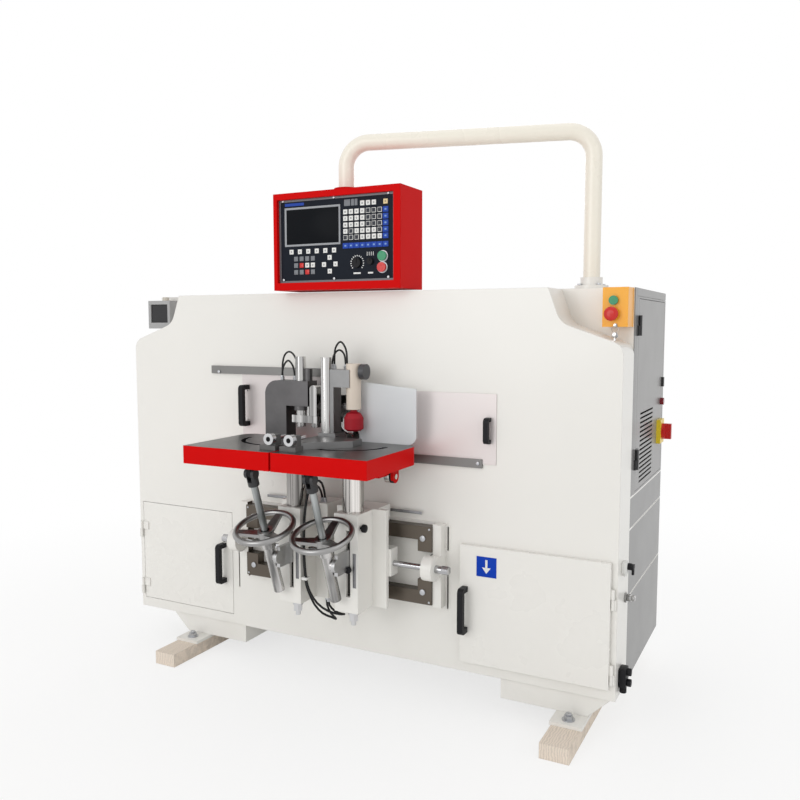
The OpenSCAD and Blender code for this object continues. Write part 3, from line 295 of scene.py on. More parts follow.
def painted_iron(name, paint, bare, bare_mask, rough=0.3, bare_rough=0.3, grind=(1, 40, 40), grain=60.0,
                 shade_and_lug_mask=None, spec=0.04):
    """Painted iron with ground faces where one mask says so, and near black where another says so: painted
    shade, and a black strut lug.
    """
    s = Shade(name)
    mask = bare_mask(s)
    lines = s.noise(grain, 5.0, grind)
    cloud = s.noise(9.0, 4.0)
    bare_tone = s.mixed(cloud * 0.6 + lines * 0.4, rgba(bare), dim(bare, 0.66))
    paint_tone = s.mixed(cloud, rgba(paint), dim(paint, 0.93))
    tone = s.mixed(mask, paint_tone, bare_tone)
    if shade_and_lug_mask:
        # Near black under the second mask: painted shade, and a black strut lug.
        tone = s.mixed(shade_and_lug_mask(s), tone, (0.02, 0.02, 0.021, 1))
    gloss = mask * (cloud * 0.15 + (bare_rough - 0.07)) + (1.0 - mask) * rough
    height = lines * mask + s.noise(240.0, 2.0) * (1.0 - mask)
    return s.surface(tone, gloss, mask, height, 0.10, 0.0003, 0.0016, spec=spec)


# Where the finish changes on one solid: places in millimetres as at() takes them, radii and walls in metres

table_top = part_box("right_table")[1][2]
table_skin, table_plate = 0.003, 0.01
table_middle = {"left": (-176, -222), "right": (148, -222)}
table_half_w, table_wall_off = 0.156, 0.02
table_under_z = 771.5
arc_centre = {"left": (-132.5, -134), "right": (104.5, -134)}
arc_radius, arc_half_w = 0.132, 0.0098
arc_front_y, strut_lug_y = -372, -340
end_panel_x, end_seam_z, end_seam_half = 898, (385, 588, 683.5), 3
saddle_bolt_z = 317.3
way_middle_x, way_half_length, way_y = -10, 0.3532, (-45.6, -10.1)
column_head_z, column_oil_and_shade_z = 740.5, 596
tilt_pin, tilt_pin_radius = (-110, 735), 0.0084
strut_pivot, strut_lean, strut_fork = (-269, 485), math.atan2(93, 271), 0.2482
cylinder_axis, cylinder_radius, cylinder_knob_x = (101, -99), 0.0234, 126
clamp_post_axis, clamp_post_radius = (15, -121), 0.0174
stop_x, stop_z, stop_y = {"left": -37, "right": 34}, 861, (-338.2, -309.8)
stop_screw_radius, stop_recess_radius, stop_recess_y = 0.0173, 0.0075, -355.4
cabinet_lamp_z = (900, 960)
cabinet_hinge_x, door_hinge_x = 900.08, 899.5
breaker_window_x, breaker_window_y, breaker_gland_z = (-879, -799), (65, 70.2), 1284.3
panel_rim_y = -46.6


def place_x(x):
    return at(x, 0, 0).x


def place_y(y):
    return at(0, y, 0).y


def place_z(z):
    return at(0, 0, z).z


def table_tops(s):
    """Mask of the ground faces of both tables."""
    return (s.facing(2) > 0.9) * (s.z > table_top - table_skin)


def table_painted_shade_and_lug(side):
    """Mask of a table's painted shade, near black on its arc slot walls, underside and the walls that face
    its own middle, and of its black strut lug.
    """
    arc_x, arc_y = arc_centre[side]
    middle_x, middle_y = table_middle[side]

    def mask(s):
        off = abs(s.off_axis(s.x, place_x(arc_x), s.y, place_y(arc_y)) - arc_radius)
        within = abs(s.x - place_x(middle_x)) < table_half_w
        walls = (off < arc_half_w) * (s.facing(2) < 0.5) * (s.y > place_y(arc_front_y)) * within
        lug = (s.z < place_z(table_under_z)) * (s.y < place_y(strut_lug_y))
        under = (s.facing(2) < -0.5) * (s.z < table_top - table_plate)
        across = s.facing(0) * (place_x(middle_x) - s.x)
        along = s.facing(1) * (place_y(middle_y) - s.y)
        inward = (across + along > table_wall_off) * (s.z > place_z(table_under_z))
        return walls.either(lug).either(under).either(inward)
    return mask


def make_finishes():
    c = colours()
    finishes["casing"] = enamel("casing_enamel", c.casing, 0.30, 0.10, grime=0.07)
    finishes["doors"] = enamel("door_enamel", c.casing, 0.28, 0.10)
    finishes["arm"] = enamel("arm_enamel", c.arm, 0.28, 0.08)
    finishes["red"] = enamel("red_enamel", c.red, 0.42, 0.08, coat=0.0, spec=0.04)
    # Polished steel: its light and dark bands are painted reflections.
    finishes["chrome"] = polished_with_painted_reflections("polished_steel", (0.20, 0.198, 0.196), (0.74, 0.73, 0.72), 0.14)
    finishes["cast"] = metal("cast_iron", (0.165, 0.16, 0.163), 0.36, grain=160.0, strength=0.25,
                             tarnish=0.5)
    finishes["steel"] = metal("brushed_steel", (0.55, 0.55, 0.55), 0.34, (1, 30, 30), 40.0, 0.15)
    finishes["wheel"] = metal("wheel_alloy", (0.42, 0.415, 0.41), 0.32, grain=300.0, strength=0.02,
                              tarnish=0.35)
    finishes["dull_steel"] = metal("dull_steel", (0.30, 0.30, 0.31), 0.42, (1, 30, 30), 40.0, 0.1)
    finishes["rail"] = metal("rail_alloy", (0.235, 0.232, 0.225), 0.42, (1, 60, 60), 20.0, 0.12)
    finishes["black"] = plastic("black_plastic", (0.016, 0.016, 0.018), 0.42, spec=0.12)
    finishes["grey_plastic"] = plastic("grey_plastic", (0.50, 0.50, 0.49), 0.42)
    finishes["station"] = plastic("station_plastic", c.station, 0.32, coat=0.2)
    finishes["green"] = plastic("green_plastic", (0.012, 0.26, 0.11), 0.28, coat=0.3)
    finishes["button_red"] = plastic("button_red_plastic", (0.60, 0.018, 0.015), 0.28, coat=0.3)
    finishes["cream_key"] = plastic("cream_key_plastic", (0.82, 0.66, 0.36), 0.40)
    finishes["white_key"] = plastic("pale_key_plastic", c.key_white, 0.45)
    finishes["blue_key"] = plastic("blue_key_plastic", c.key_blue, 0.42)
    finishes["pale_blue"] = plastic("pale_blue_print", (0.20, 0.34, 0.62), 0.45)
    finishes["grey_key"] = plastic("grey_key_plastic", (0.20, 0.21, 0.23), 0.45)
    finishes["dark_key"] = plastic("dark_key_plastic", (0.030, 0.034, 0.045), 0.42)
    finishes["mark"] = plastic("mark_print", (0.05, 0.055, 0.07), 0.5)
    finishes["print"] = plastic("white_print", (0.80, 0.80, 0.79), 0.5)
    finishes["rubber"] = plastic("hose_rubber", (0.016, 0.016, 0.017), 0.55, 600.0, 0.2)
    finishes["zinc"] = metal("zinc_bolt", (0.52, 0.53, 0.55), 0.35, grain=300.0, strength=0.2)


def set_finish(material, *nodes):
    for node in nodes:
        mesh = bpy.data.objects[node].data
        mesh.materials.clear()
        mesh.materials.append(material)


class TENONER_OT_finishes(bpy.types.Operator):
    """Give each solid of the machine its own finish."""
    bl_idname = "tenoner.finishes"
    bl_label = "Finishes"

    def execute(self, context):
        make_finishes()
        c = colours()
        f = finishes
        set_finish(f["casing"], "front_casing", "base_frame", "arm_socket")
        set_finish(f["doors"], "left_door", "right_door")
        set_finish(f["arm"], "arm_tube")
        set_finish(f["red"], "control_box")
        set_finish(plastic("foot_rubber", (0.36, 0.008, 0.018), 0.5), "right_clamp_foot")
        set_finish(f["black"], "left_door_handle", "right_door_handle", "left_guard_handle",
                   "right_guard_pull", "feed_dial", "mode_switch")
        set_finish(f["station"], "button_box")
        set_finish(f["green"], "start_button", "panel_start_button")
        set_finish(f["button_red"], "stop_button", "panel_stop_button", "main_switch_knob")
        set_finish(f["wheel"], "left_handwheel", "right_handwheel")
        # Strut tubes and lead screws: their light and dark bands are painted reflections.
        set_finish(polished_with_painted_reflections("tube_steel", (0.17, 0.168, 0.165), (0.58, 0.57, 0.56), 0.18, (1, 0.3, 0.05)),
                   "left_strut_tube", "right_strut_tube")
        set_finish(f["chrome"], "left_clamp_press", "cutter_head")
        set_finish(polished_with_painted_reflections("screw_steel", (0.30, 0.30, 0.31), (0.62, 0.62, 0.63), 0.20, (0.02, 1, 1)),
                   "left_lead_screw", "right_lead_screw")
        set_finish(f["cast"], "left_clamp_frame")
        set_finish(f["steel"], "left_strut_bracket", "right_strut_bracket")
        set_finish(metal("fence_iron", (0.30, 0.30, 0.30), 0.36, (1, 30, 30), 40.0, 0.15, tarnish=0.3),
                   "right_fence")
        set_finish(f["rail"], "guard_rails")
        set_finish(enamel("carriage_enamel", (0.30, 0.31, 0.32), 0.4), "spindle_carriage")
        # Each table's iron is near black in its slot walls, underside and inner walls as painted shade.
        for side in ("left", "right"):
            set_finish(painted_iron(side + "_table_iron", c.red, (0.20, 0.20, 0.20), table_tops, 0.28, 0.36,
                                    shade_and_lug_mask=table_painted_shade_and_lug(side)), side + "_table")
        self.timber(c)
        self.body(c)
        self.saddles(c)
        self.bed(c)
        self.columns(c)
        self.rods()
        self.clamp()
        self.stops()
        self.cabinet(c)
        self.hinges(c)
        self.boxes()
        self.guards()
        self.panel()
        return {"FINISHED"}

    def timber(self, c):
        s = Shade("weathered_timber")
        grain = s.noise(26.0, 8.0, (14, 1, 14), 0.65)
        blotch = s.noise(9.0, 5.0)
        rings = s.node("ShaderNodeTexWave", {"wave_type": "BANDS", "bands_direction": "X"},
                       {"Vector": s.place, "Scale": 42.0, "Distortion": 7.0, "Detail": 4.0})
        fibre = grain * 0.65 + rings * 0.35
        tone = s.mixed(fibre, dim(c.timber, 0.55), dim(c.timber, 1.2))
        tone = s.mixed(blotch * 0.5, tone, (0.68, 0.62, 0.55, 1))
        set_finish(s.surface(tone, 0.82, 0.0, fibre, 0.7, 0.0015, 0.003), "bearers")

    def body(self, c):
        s = Shade("body_enamel")
        end = s.x > place_x(end_panel_x)
        seams = 0.0
        for z in end_seam_z:
            seams = s.between(s.z, place_z(z - end_seam_half), place_z(z + end_seam_half)) + seams
        cloud = s.noise(2.3, 4.0)
        # The right end takes the cabinet's grey darkened to about 0.6: the grey is its paint, the darkening
        # is painted shade; the seams keep the casing's white.
        tone = s.mixed(end * (1.0 - seams), s.mixed(cloud, rgba(c.casing), dim(c.casing, 0.955)),
                       s.mixed(cloud, dim(c.cabinet, 0.62), dim(c.cabinet, 0.57)))
        gloss = s.noise(7.0, 3.0) * 0.10 + 0.25
        height = s.noise(260.0, 2.0)
        set_finish(s.surface(tone, gloss, 0.0, height, 0.10, 0.0004, 0.0018, 0.15), "rear_casing")

    def saddles(self, c):
        s = Shade("saddle_enamel")
        bolt = s.z < place_z(saddle_bolt_z)
        tone = s.mixed(bolt, s.mixed(s.noise(3.0, 4.0), rgba(c.casing), dim(c.casing, 0.955)),
                       (0.60, 0.60, 0.61, 1))
        set_finish(s.surface(tone, 0.28 + bolt * 0.06, bolt, s.noise(260.0, 2.0), 0.08, 0.0004, 0.0018),
                   "left_saddle", "right_saddle")

    def bed(self, c):
        low, high = (place_y(y) for y in way_y)

        def ways(s):
            return (abs(s.x - place_x(way_middle_x)) < way_half_length) * s.between(s.y, low, high)

        set_finish(painted_iron("way_iron", c.casing, (0.150, 0.128, 0.106), ways, 0.3, 0.38, (1, 60, 60),
                                spec=0.5), "saddle_beds")

    def columns(self, c):
        for side in ("left", "right"):
            s = Shade(side + "_column_steel")
            pin_y, pin_z = tilt_pin
            pin = s.off_axis(s.y, place_y(pin_y), s.z, place_z(pin_z)) < tilt_pin_radius
            bare = (s.z < place_z(column_head_z)).either(pin)
            # Near black low down: oil on the steel, and painted shade where the column runs in the housing's
            # slot.
            oil_and_painted_shade = s.z < place_z(column_oil_and_shade_z)
            lines = s.noise(300.0, 3.0, (1, 1, 6))
            # The bare steel's light and dark bands are painted reflections.
            tone = s.mixed(bare, s.mixed(s.noise(9.0), rgba(c.red), dim(c.red, 0.9)),
                           painted_reflection_bands(s, (0.16, 0.152, 0.145), (0.80, 0.77, 0.74), scale=38.0))
            tone = s.mixed(oil_and_painted_shade, tone, (0.05, 0.048, 0.045, 1))
            gloss = bare * (s.noise(10.0) * 0.12 + 0.08) + (1.0 - bare) * 0.26 + oil_and_painted_shade * 0.25
            set_finish(s.surface(tone, gloss, bare, lines, 0.03, 0.0002, 0.0012, spec=0.15),
                       side + "_column")

    def rods(self):
        s = Shade("strut_steel")
        pivot_y, pivot_z = strut_pivot
        rise = (s.z - place_z(pivot_z)) * math.cos(strut_lean)
        along = rise - (s.y - place_y(pivot_y)) * math.sin(strut_lean)
        fork = along > strut_fork
        # The rod's light and dark bands are painted reflections; the fork is black.
        tone = s.mixed(fork, painted_reflection_bands(s, (0.20, 0.21, 0.21), (0.46, 0.48, 0.48), (1, 0.3, 0.05)),
                       (0.03, 0.03, 0.032, 1))
        set_finish(s.surface(tone, fork * 0.12 + 0.32, 1.0 - fork * 0.8, s.noise(240.0, 3.0), 0.12, 0.0003),
                   "left_strut_rod", "right_strut_rod")

    def clamp(self):
        s = Shade("right_clamp_finish")
        cylinder_x, cylinder_y = cylinder_axis
        post_x, post_y = clamp_post_axis
        cylinder = s.off_axis(s.x, place_x(cylinder_x), s.y, place_y(cylinder_y)) < cylinder_radius
        knob = s.x > place_x(cylinder_knob_x)
        post = s.off_axis(s.x, place_x(post_x), s.y, place_y(post_y)) < clamp_post_radius
        bare = (1.0 - cylinder) * (1.0 - knob)
        # The post's light and dark bands are painted reflections.
        iron = s.mixed(post, s.mixed(s.noise(12.0), (0.30, 0.30, 0.30, 1), (0.19, 0.19, 0.19, 1)),
                       painted_reflection_bands(s, (0.20, 0.198, 0.196), (0.78, 0.77, 0.76)))
        tone = s.mixed(cylinder, iron,
                       s.mixed(s.noise(10.0), (0.72, 0.63, 0.54, 1), (0.64, 0.55, 0.46, 1)))
        tone = s.mixed(knob, tone, (0.05, 0.05, 0.055, 1))
        set_finish(s.surface(tone, bare * 0.02 + 0.34 - post * 0.18, bare, s.noise(200.0), 0.15, 0.0003),
                   "right_clamp_frame")

    def stops(self):
        for side, x in stop_x.items():
            s = Shade(side + "_stop_steel")
            off = s.off_axis(s.x, place_x(x), s.z, place_z(stop_z))
            ends = (s.y < place_y(stop_y[0])).either(s.y > place_y(stop_y[1]))
            bare = (off < stop_screw_radius) * ends
            tone = s.mixed(bare, s.mixed(s.noise(30.0), (0.16, 0.157, 0.155, 1), (0.11, 0.108, 0.106, 1)),
                           (0.60, 0.60, 0.61, 1))
            # Painted shade: the near-black disc in the screw's recess at its front end.
            painted_recess_shade = (off < stop_recess_radius) * (s.y < place_y(stop_recess_y))
            tone = s.mixed(painted_recess_shade, tone, (0.015, 0.015, 0.016, 1))
            set_finish(s.surface(tone, 0.42 - bare * 0.24, 0.4 + bare * 0.6, s.noise(220.0), 0.2, 0.0003),
                       side + "_stop")

    def cabinet(self, c):
        for node in ("cabinet", "cabinet_door"):
            s = Shade(node + "_enamel")
            tone = s.mixed(s.noise(2.6, 4.0), rgba(c.cabinet), dim(c.cabinet, 0.94))
            if node == "cabinet_door":
                tone = s.mixed(s.x > place_x(cabinet_hinge_x), tone, (0.02, 0.02, 0.022, 1))
            gloss = s.noise(7.0) * 0.1 + 0.3
            set_finish(s.surface(tone, gloss, 0.0, s.noise(280.0), 0.10, 0.0003, 0.0018, 0.15), node)
        s = Shade("cabinet_fitting_plastic")
        lamp_low, lamp_high = (place_z(z) for z in cabinet_lamp_z)
        lamp = s.between(s.z, lamp_low, lamp_high)
        lock = s.z > lamp_high
        tone = s.mixed(lamp, s.mixed(s.noise(18.0), (0.88, 0.66, 0.02, 1), (0.80, 0.58, 0.02, 1)),
                       (0.20, 0.006, 0.016, 1))
        tone = s.mixed(lock, tone, (0.02, 0.02, 0.02, 1))
        set_finish(s.surface(tone, 0.3 - lamp * 0.18, 0.0, s.noise(600.0), 0.06, 0.0002), "cabinet_fittings")

    def hinges(self, c):
        s = Shade("hinge_finish")
        black = s.x > place_x(door_hinge_x)
        tone = s.mixed(black, s.mixed(s.noise(20.0), rgba(c.casing), dim(c.casing, 0.9)),
                       (0.02, 0.02, 0.022, 1))
        set_finish(s.surface(tone, 0.34, 0.0, s.noise(400.0), 0.1, 0.0003), "door_hinges")

    def boxes(self):
        s = Shade("breaker_plastic")
        window = s.between(s.y, *(place_y(y) for y in breaker_window_y))
        window = window * s.between(s.x, *(place_x(x) for x in breaker_window_x))
        gland = s.z > place_z(breaker_gland_z)
        tone = s.mixed(window, s.mixed(s.noise(16.0), (0.40, 0.40, 0.40, 1), (0.34, 0.34, 0.34, 1)),
                       (0.012, 0.012, 0.014, 1))
        tone = s.mixed(gland, tone, (0.62, 0.58, 0.50, 1))
        set_finish(s.surface(tone, 0.40 - window * 0.32, 0.0, s.noise(600.0) * (1.0 - window), 0.1, 0.0002),
                   "breaker_box")

    def guards(self):
        s = Shade("guard_sheet")
        lines = s.noise(30.0, 4.0, (40, 1, 1))
        tone = s.mixed(s.noise(3.0), (0.71, 0.655, 0.645, 1), (0.665, 0.615, 0.605, 1))
        set_finish(s.surface(tone, lines * 0.06 + 0.32, 0.3, lines, 0.03, 0.0002, 0.0006), "left_guard",
                   "right_guard")
        s = Shade("shield_sheet")
        tone = s.mixed(s.noise(4.0), (0.82, 0.84, 0.86, 1), (0.78, 0.80, 0.82, 1))
        set_finish(s.surface(tone, s.noise(12.0) * 0.1 + 0.10, 0.0, s.noise(30.0), 0.02, 0.0002, 0.0006,
                             alpha=0.62), "chip_shield")

    def panel(self):
        s = Shade("panel_face")
        rim = s.y < place_y(panel_rim_y)
        tone = s.mixed(rim, s.mixed(s.noise(12.0), (0.010, 0.013, 0.020, 1), (0.015, 0.018, 0.026, 1)),
                       (0.16, 0.16, 0.17, 1))
        set_finish(s.surface(tone, rim * 0.06 + 0.36, rim * 0.5, s.noise(700.0), 0.08, 0.0002, 0.0006,
                             spec=0.05), "control_panel")


# Shapes

to_right, to_front, to_top = (1, 0, 0), (0, -1, 0), (0, 0, 1)
sharp_angle = 0.6


def slab(bm, low, high, bevel=0.0):
    """Block between two corners, with rounded edges where a bevel is given."""
    low, high = Vector(low), Vector(high)
    size = high - low
    placed = Matrix.Translation((low + high) / 2) @ Matrix.Diagonal((size.x, size.y, size.z, 1.0))
    made = bmesh.ops.create_cube(bm, size=1.0, matrix=placed)["verts"]
    edges = list({e for v in made for e in v.link_edges})
    if bevel:
        bmesh.ops.bevel(bm, geom=edges, offset=bevel, affect="EDGES", segments=2, profile=0.5, material=-1)
    return made


def drum(bm, foot, axis, radius, length, sides=32, bevel=0.0):
    """Cylinder or prism from the middle of its foot along an axis."""
    turn = Vector(to_top).rotation_difference(Vector(axis).normalized()).to_matrix().to_4x4()
    placed = Matrix.Translation(Vector(foot)) @ turn @ Matrix.Translation((0, 0, length / 2))
    made = bmesh.ops.create_cone(bm, cap_ends=True, segments=sides, radius1=radius, radius2=radius,
                                 depth=length, matrix=placed)["verts"]
    if bevel:
        rims = list({e for v in made for e in v.link_edges if any(len(f.verts) > 4 for f in e.link_faces)})
        bmesh.ops.bevel(bm, geom=rims, offset=bevel, affect="EDGES", segments=2, profile=0.5, material=-1)


def stack(bm, foot, axis, *rings):
    """Drums on top of one another, each with its radius, length, sides and bevel."""
    foot, axis = Vector(foot), Vector(axis)
    for radius, length, sides, bevel in rings:
        drum(bm, foot, axis, radius, length, sides, bevel)
        foot = foot + axis * length


def hoop(bm, centre, axis, radius, section, sides=28, turns=10):
    """Closed ring of round wire."""
    turn = Vector(to_top).rotation_difference(Vector(axis).normalized()).to_matrix().to_4x4()
    start = turn @ Matrix.Translation((radius, 0, 0)) @ Matrix.Rotation(math.pi / 2, 4, "X")
    wire = bmesh.ops.create_circle(bm, cap_ends=False, segments=turns, radius=section,
                                   matrix=Matrix.Translation(Vector(centre)) @ start)["verts"]
    edges = list({e for v in wire for e in v.link_edges})
    bmesh.ops.spin(bm, geom=wire + edges, cent=Vector(centre), axis=Vector(axis).normalized(),
                   angle=2 * math.pi, steps=sides, use_merge=True)


def piece(bm, name, finish, body):
    """Finish a mesh as one piece of the machine, with the body it rides on."""
    bmesh.ops.remove_doubles(bm, verts=bm.verts, dist=1e-6)
    bmesh.ops.recalc_face_normals(bm, faces=bm.faces)
    mesh = bpy.data.meshes.new(name)
    bm.to_mesh(mesh)
    bm.free()
    made = bpy.data.objects.new(name, mesh)
    bpy.context.scene.collection.objects.link(made)
    mesh.materials.append(finishes[finish])
    mesh.shade_smooth()
    mesh.set_sharp_from_angle(angle=sharp_angle)
    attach(made, body)


# Hoses: routes repeat the solids' own points, and one of more than long_route points takes fewer steps

long_route = 10
tie_low, tie_high = (-32, -202, 399), (-12, -181, 409)
saddle_routes = [
    [(-14, -88, 627.4), (-14, -90, 655), (-15, -104, 690), (-17, -132, 704), (-19, -162, 690),
     (-20, -184, 650), (-20, -196, 600), (-21, -199, 545), (-21, -199, 480), (-17, -197, 410),
     (-10, -190, 366), (14, -182, 326), (48, -170, 302), (74, -148, 290), (76, -122, 282),
     (56, -104, 274), (26, -97, 276), (4, -95, 292), (1, -95, 317.4)],
    [(-23, -88, 627.4), (-23, -92, 650), (-23, -108, 676), (-24, -132, 686), (-26, -158, 676),
     (-28, -176, 640), (-29, -186, 595), (-30, -189, 545), (-30, -189, 480), (-27, -186, 400),
     (-20, -182, 362), (0, -176, 318), (24, -166, 290), (44, -148, 276), (46, -124, 262),
     (30, -104, 258), (4, -88, 264), (-13, -82, 286), (-15, -80, 317.4)]]
left_clamp_routes = [
    [(-112, -84, 1015.4), (-113, -84, 1040), (-119, -84, 1075), (-134, -83, 1099), (-152, -82, 1106),
     (-168, -82, 1094), (-176, -82, 1068), (-177, -82, 1040), (-176, -82, 1015.4)],
    [(-122, -92, 1015.4), (-123, -92, 1036), (-130, -92, 1062), (-147, -92, 1078), (-164, -92, 1062),
     (-171, -92, 1036), (-171, -92, 1015.4)]]
right_clamp_routes = [
    [(74, -94, 1055.4), (75, -94, 1082), (70, -93, 1118), (50, -91, 1140), (30, -89, 1120), (25, -87, 1085),
     (25, -86, 1055.4)],
    [(62, -82, 1055.4), (62, -82, 1076), (56, -81, 1102), (38, -80, 1114), (20, -80, 1100), (13, -80, 1076),
     (13, -80, 1055.4)]]


def smooth_route(points, steps):
    """Points on a smooth line through the route."""
    p = [at(*q) for q in points]
    n = len(p) - 1
    line = []
    for i in range(n):
        a, b, c, d = p[max(i - 1, 0)], p[i], p[i + 1], p[min(i + 2, n)]
        for k in range(steps):
            t = k / steps
            line.append(0.5 * (2 * b + (c - a) * t + (2 * a - 5 * b + 4 * c - d) * t * t
                               + (3 * b - a - 3 * c + d) * t ** 3))
    return line + [p[n]]


def hose(name, points, diameter, body, node):
    """Rubber hose that stands in for one node's solid; gives the line it follows."""
    line = smooth_route(points, 2 if len(points) > long_route else 4)
    curve = bpy.data.curves.new(name, "CURVE")
    curve.dimensions = "3D"
    curve.bevel_depth = diameter / 2
    curve.bevel_resolution = 4
    curve.use_fill_caps = True
    spline = curve.splines.new("POLY")
    spline.points.add(len(line) - 1)
    for spot, p in zip(spline.points, line):
        spot.co = (p.x, p.y, p.z, 1.0)
    made = bpy.data.objects.new(name, curve)
    bpy.context.scene.collection.objects.link(made)
    curve.materials.append(finishes["rubber"])
    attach(made, body)
    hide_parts(node)
    length = sum((b - a).length for a, b in zip(line, line[1:]))
    return line


def ferrules(name, ends, diameter, body):
    """Push-in fittings at the hoses' ends."""
    bm = bmesh.new()
    for spot, way in ends:
        way = way.normalized()
        drum(bm, spot - way * 0.0005, way, diameter * 0.95, 0.009, 6)
        drum(bm, spot + way * 0.008, way, diameter * 0.85, 0.006, 24, 0.0006)
    piece(bm, name, "zinc", body)


class TENONER_OT_hoses(bpy.types.Operator):
    """Air hoses on both clamps and on the left saddle."""
    bl_idname = "tenoner.hoses"
    bl_label = "Hoses"

    def execute(self, context):
        sets = (("saddle_hose", saddle_routes, sizes().saddle_hose, "left_saddle", "saddle_hoses"),
                ("left_clamp_hose", left_clamp_routes, sizes().clamp_hose, "left_table", "left_clamp_hoses"),
                ("right_clamp_hose", right_clamp_routes, sizes().clamp_hose, "right_table",
                 "right_clamp_hoses"))
        for name, routes, diameter, body, node in sets:
            ends = []
            for i, points in enumerate(routes):
                line = hose(f"{name}_{i + 1}", points, diameter, body, node)
                ends += [(line[0], line[1] - line[0]), (line[-1], line[-2] - line[-1])]
            ferrules(name + "_fittings", ends, diameter, body)
        bm = bmesh.new()
        slab(bm, at(*tie_low), at(*tie_high), 0.003)
        piece(bm, "hose_tie", "white_key", "left_saddle")
        return {"FINISHED"}


# Control panel: x and z in millimetres, z as measured before the panel's lift; a box is x, z to x, z

panel_face = -46
panel_lift = 5.5
screen_box = (-184.5, 1439.5, 25.5, 1563)
key_cols = [43.5 + 20.36 * i for i in range(8)]
key_rows = [1561.5, 1538, 1517.7, 1497.7, 1478.1, 1458.7, 1433.5]
keypad = ["...www.c", "wwwwooob", "wwwwooob", "wwwwooob", "wowwwwob", "ooowwwwb", "bbbbbbbb"]
soft_keys = [(-160 + 32.3 * i, 1422.2) for i in range(6)]
block_cols = [-142.8, -121.4, -99.8, -78.4]
block_rows = [1399.4, 1378.4, 1356.8]
block = ["gggg", "grww", "ggrg"]
arrow_keys = [(-15, 1400), (-36.2, 1378.2), (6.6, 1378.6), (-14.8, 1356.8)]
key_kinds = {"w": ("pale_keys", "white_key"), "b": ("blue_keys", "blue_key"), "g": ("grey_keys", "grey_key"),
             "r": ("red_keys", "button_red"), "c": ("cream_key", "cream_key"),
             "o": ("outlined_keys", "white_key")}
blue_key_extra = (2.2, 1.0)
outline_w = 1.3
sign_half, mark_half, mark_eye_half = (3.4, 2.6), (2.6, 2.8), (1.3, 1.5)
bezel_w, bezel_step, glass_inset = 0.0065, 0.0022, 6.4
display_x, display_z = ((39, 61), (64, 75), (77, 87)), (1556, 1576)
panel_screw_x, panel_screw_z = (-190.6, 2.5, 196.2), (1585.5, 1333)
dial_x, dial_z, dial_scale_radius, dial_sweep, dial_ticks = 85.5, 1379, 22.5, 130, 15
dial_tick_half = Vector((0.0015, 0.0003, 0.0021))
switch_mark_x, switch_mark_z, switch_mark_half = [121 + 7.2 * i for i in range(4)], (1400, 1412), 0.9
label_x, label_z = ((72, 98), (124, 142)), (1345, 1350)
header_box = (-184.5, 1568.5, -111, 1577.5)
ring_spots, ring_radius = ((176, 1397), (174.5, 1363)), 0.0178


def panel_at(x, z, out):
    """Point that stands out from the panel's face."""
    return at(x, panel_face - out, z + panel_lift)


def raised(bm, box, front, back, bevel=0.0):
    """Block over a box on the panel, from one distance off its face to another."""
    x0, z0, x1, z1 = box
    slab(bm, panel_at(x0, z0, front), panel_at(x1, z1, back), bevel)


def around(x, z, half):
    """Box round a point on the panel."""
    return (x - half[0], z - half[1], x + half[0], z + half[1])


def key_list():
    """Place and kind of every key."""
    keys = []
    for x, z in soft_keys + arrow_keys:
        keys.append((x, z, "w"))
    for z, row in zip(block_rows, block):
        keys += [(x, z, k) for x, k in zip(block_cols, row)]
    for z, row in zip(key_rows, keypad):
        keys += [(x, z, k) for x, k in zip(key_cols, row) if k != "."]
    return keys


class TENONER_OT_panel_keys(bpy.types.Operator):
    """Keys of the control panel, with a plain mark on the pale, cream and blue keys and a dark face on the
    outlined ones.
    """
    bl_idname = "tenoner.panel_keys"
    bl_label = "Panel keys"

    def execute(self, context):
        key_half = (sizes().key_w * 500, sizes().key_h * 500)
        key_top = sizes().key_t * 1000
        heaps = {}
        marks, faces, signs = bmesh.new(), bmesh.new(), bmesh.new()
        for x, z, kind in key_list():
            if kind not in heaps:
                heaps[kind] = bmesh.new()
            half = key_half
            if kind == "b":
                half = (key_half[0] + blue_key_extra[0], key_half[1] + blue_key_extra[1])
            raised(heaps[kind], around(x, z, half), key_top, -0.5, 0.0007)
            if kind == "o":
                inner = (half[0] - outline_w, half[1] - outline_w)
                raised(faces, around(x, z, inner), key_top + 0.25, 0.5, 0.0004)
            elif kind == "b":
                raised(signs, around(x, z, sign_half), key_top + 0.08, 1.0, 0.0003)
            elif kind in "wc":
                raised(marks, around(x, z, mark_half), key_top + 0.08, 1.0, 0.0003)
                raised(heaps[kind], around(x, z, mark_eye_half), key_top + 0.16, 1.0, 0.0002)
        for kind, bm in heaps.items():
            name, finish = key_kinds[kind]
            piece(bm, name, finish, "control_box")
        piece(marks, "key_marks", "mark", "control_box")
        piece(signs, "blue_key_marks", "pale_blue", "control_box")
        piece(faces, "outlined_key_faces", "dark_key", "control_box")
        return {"FINISHED"}


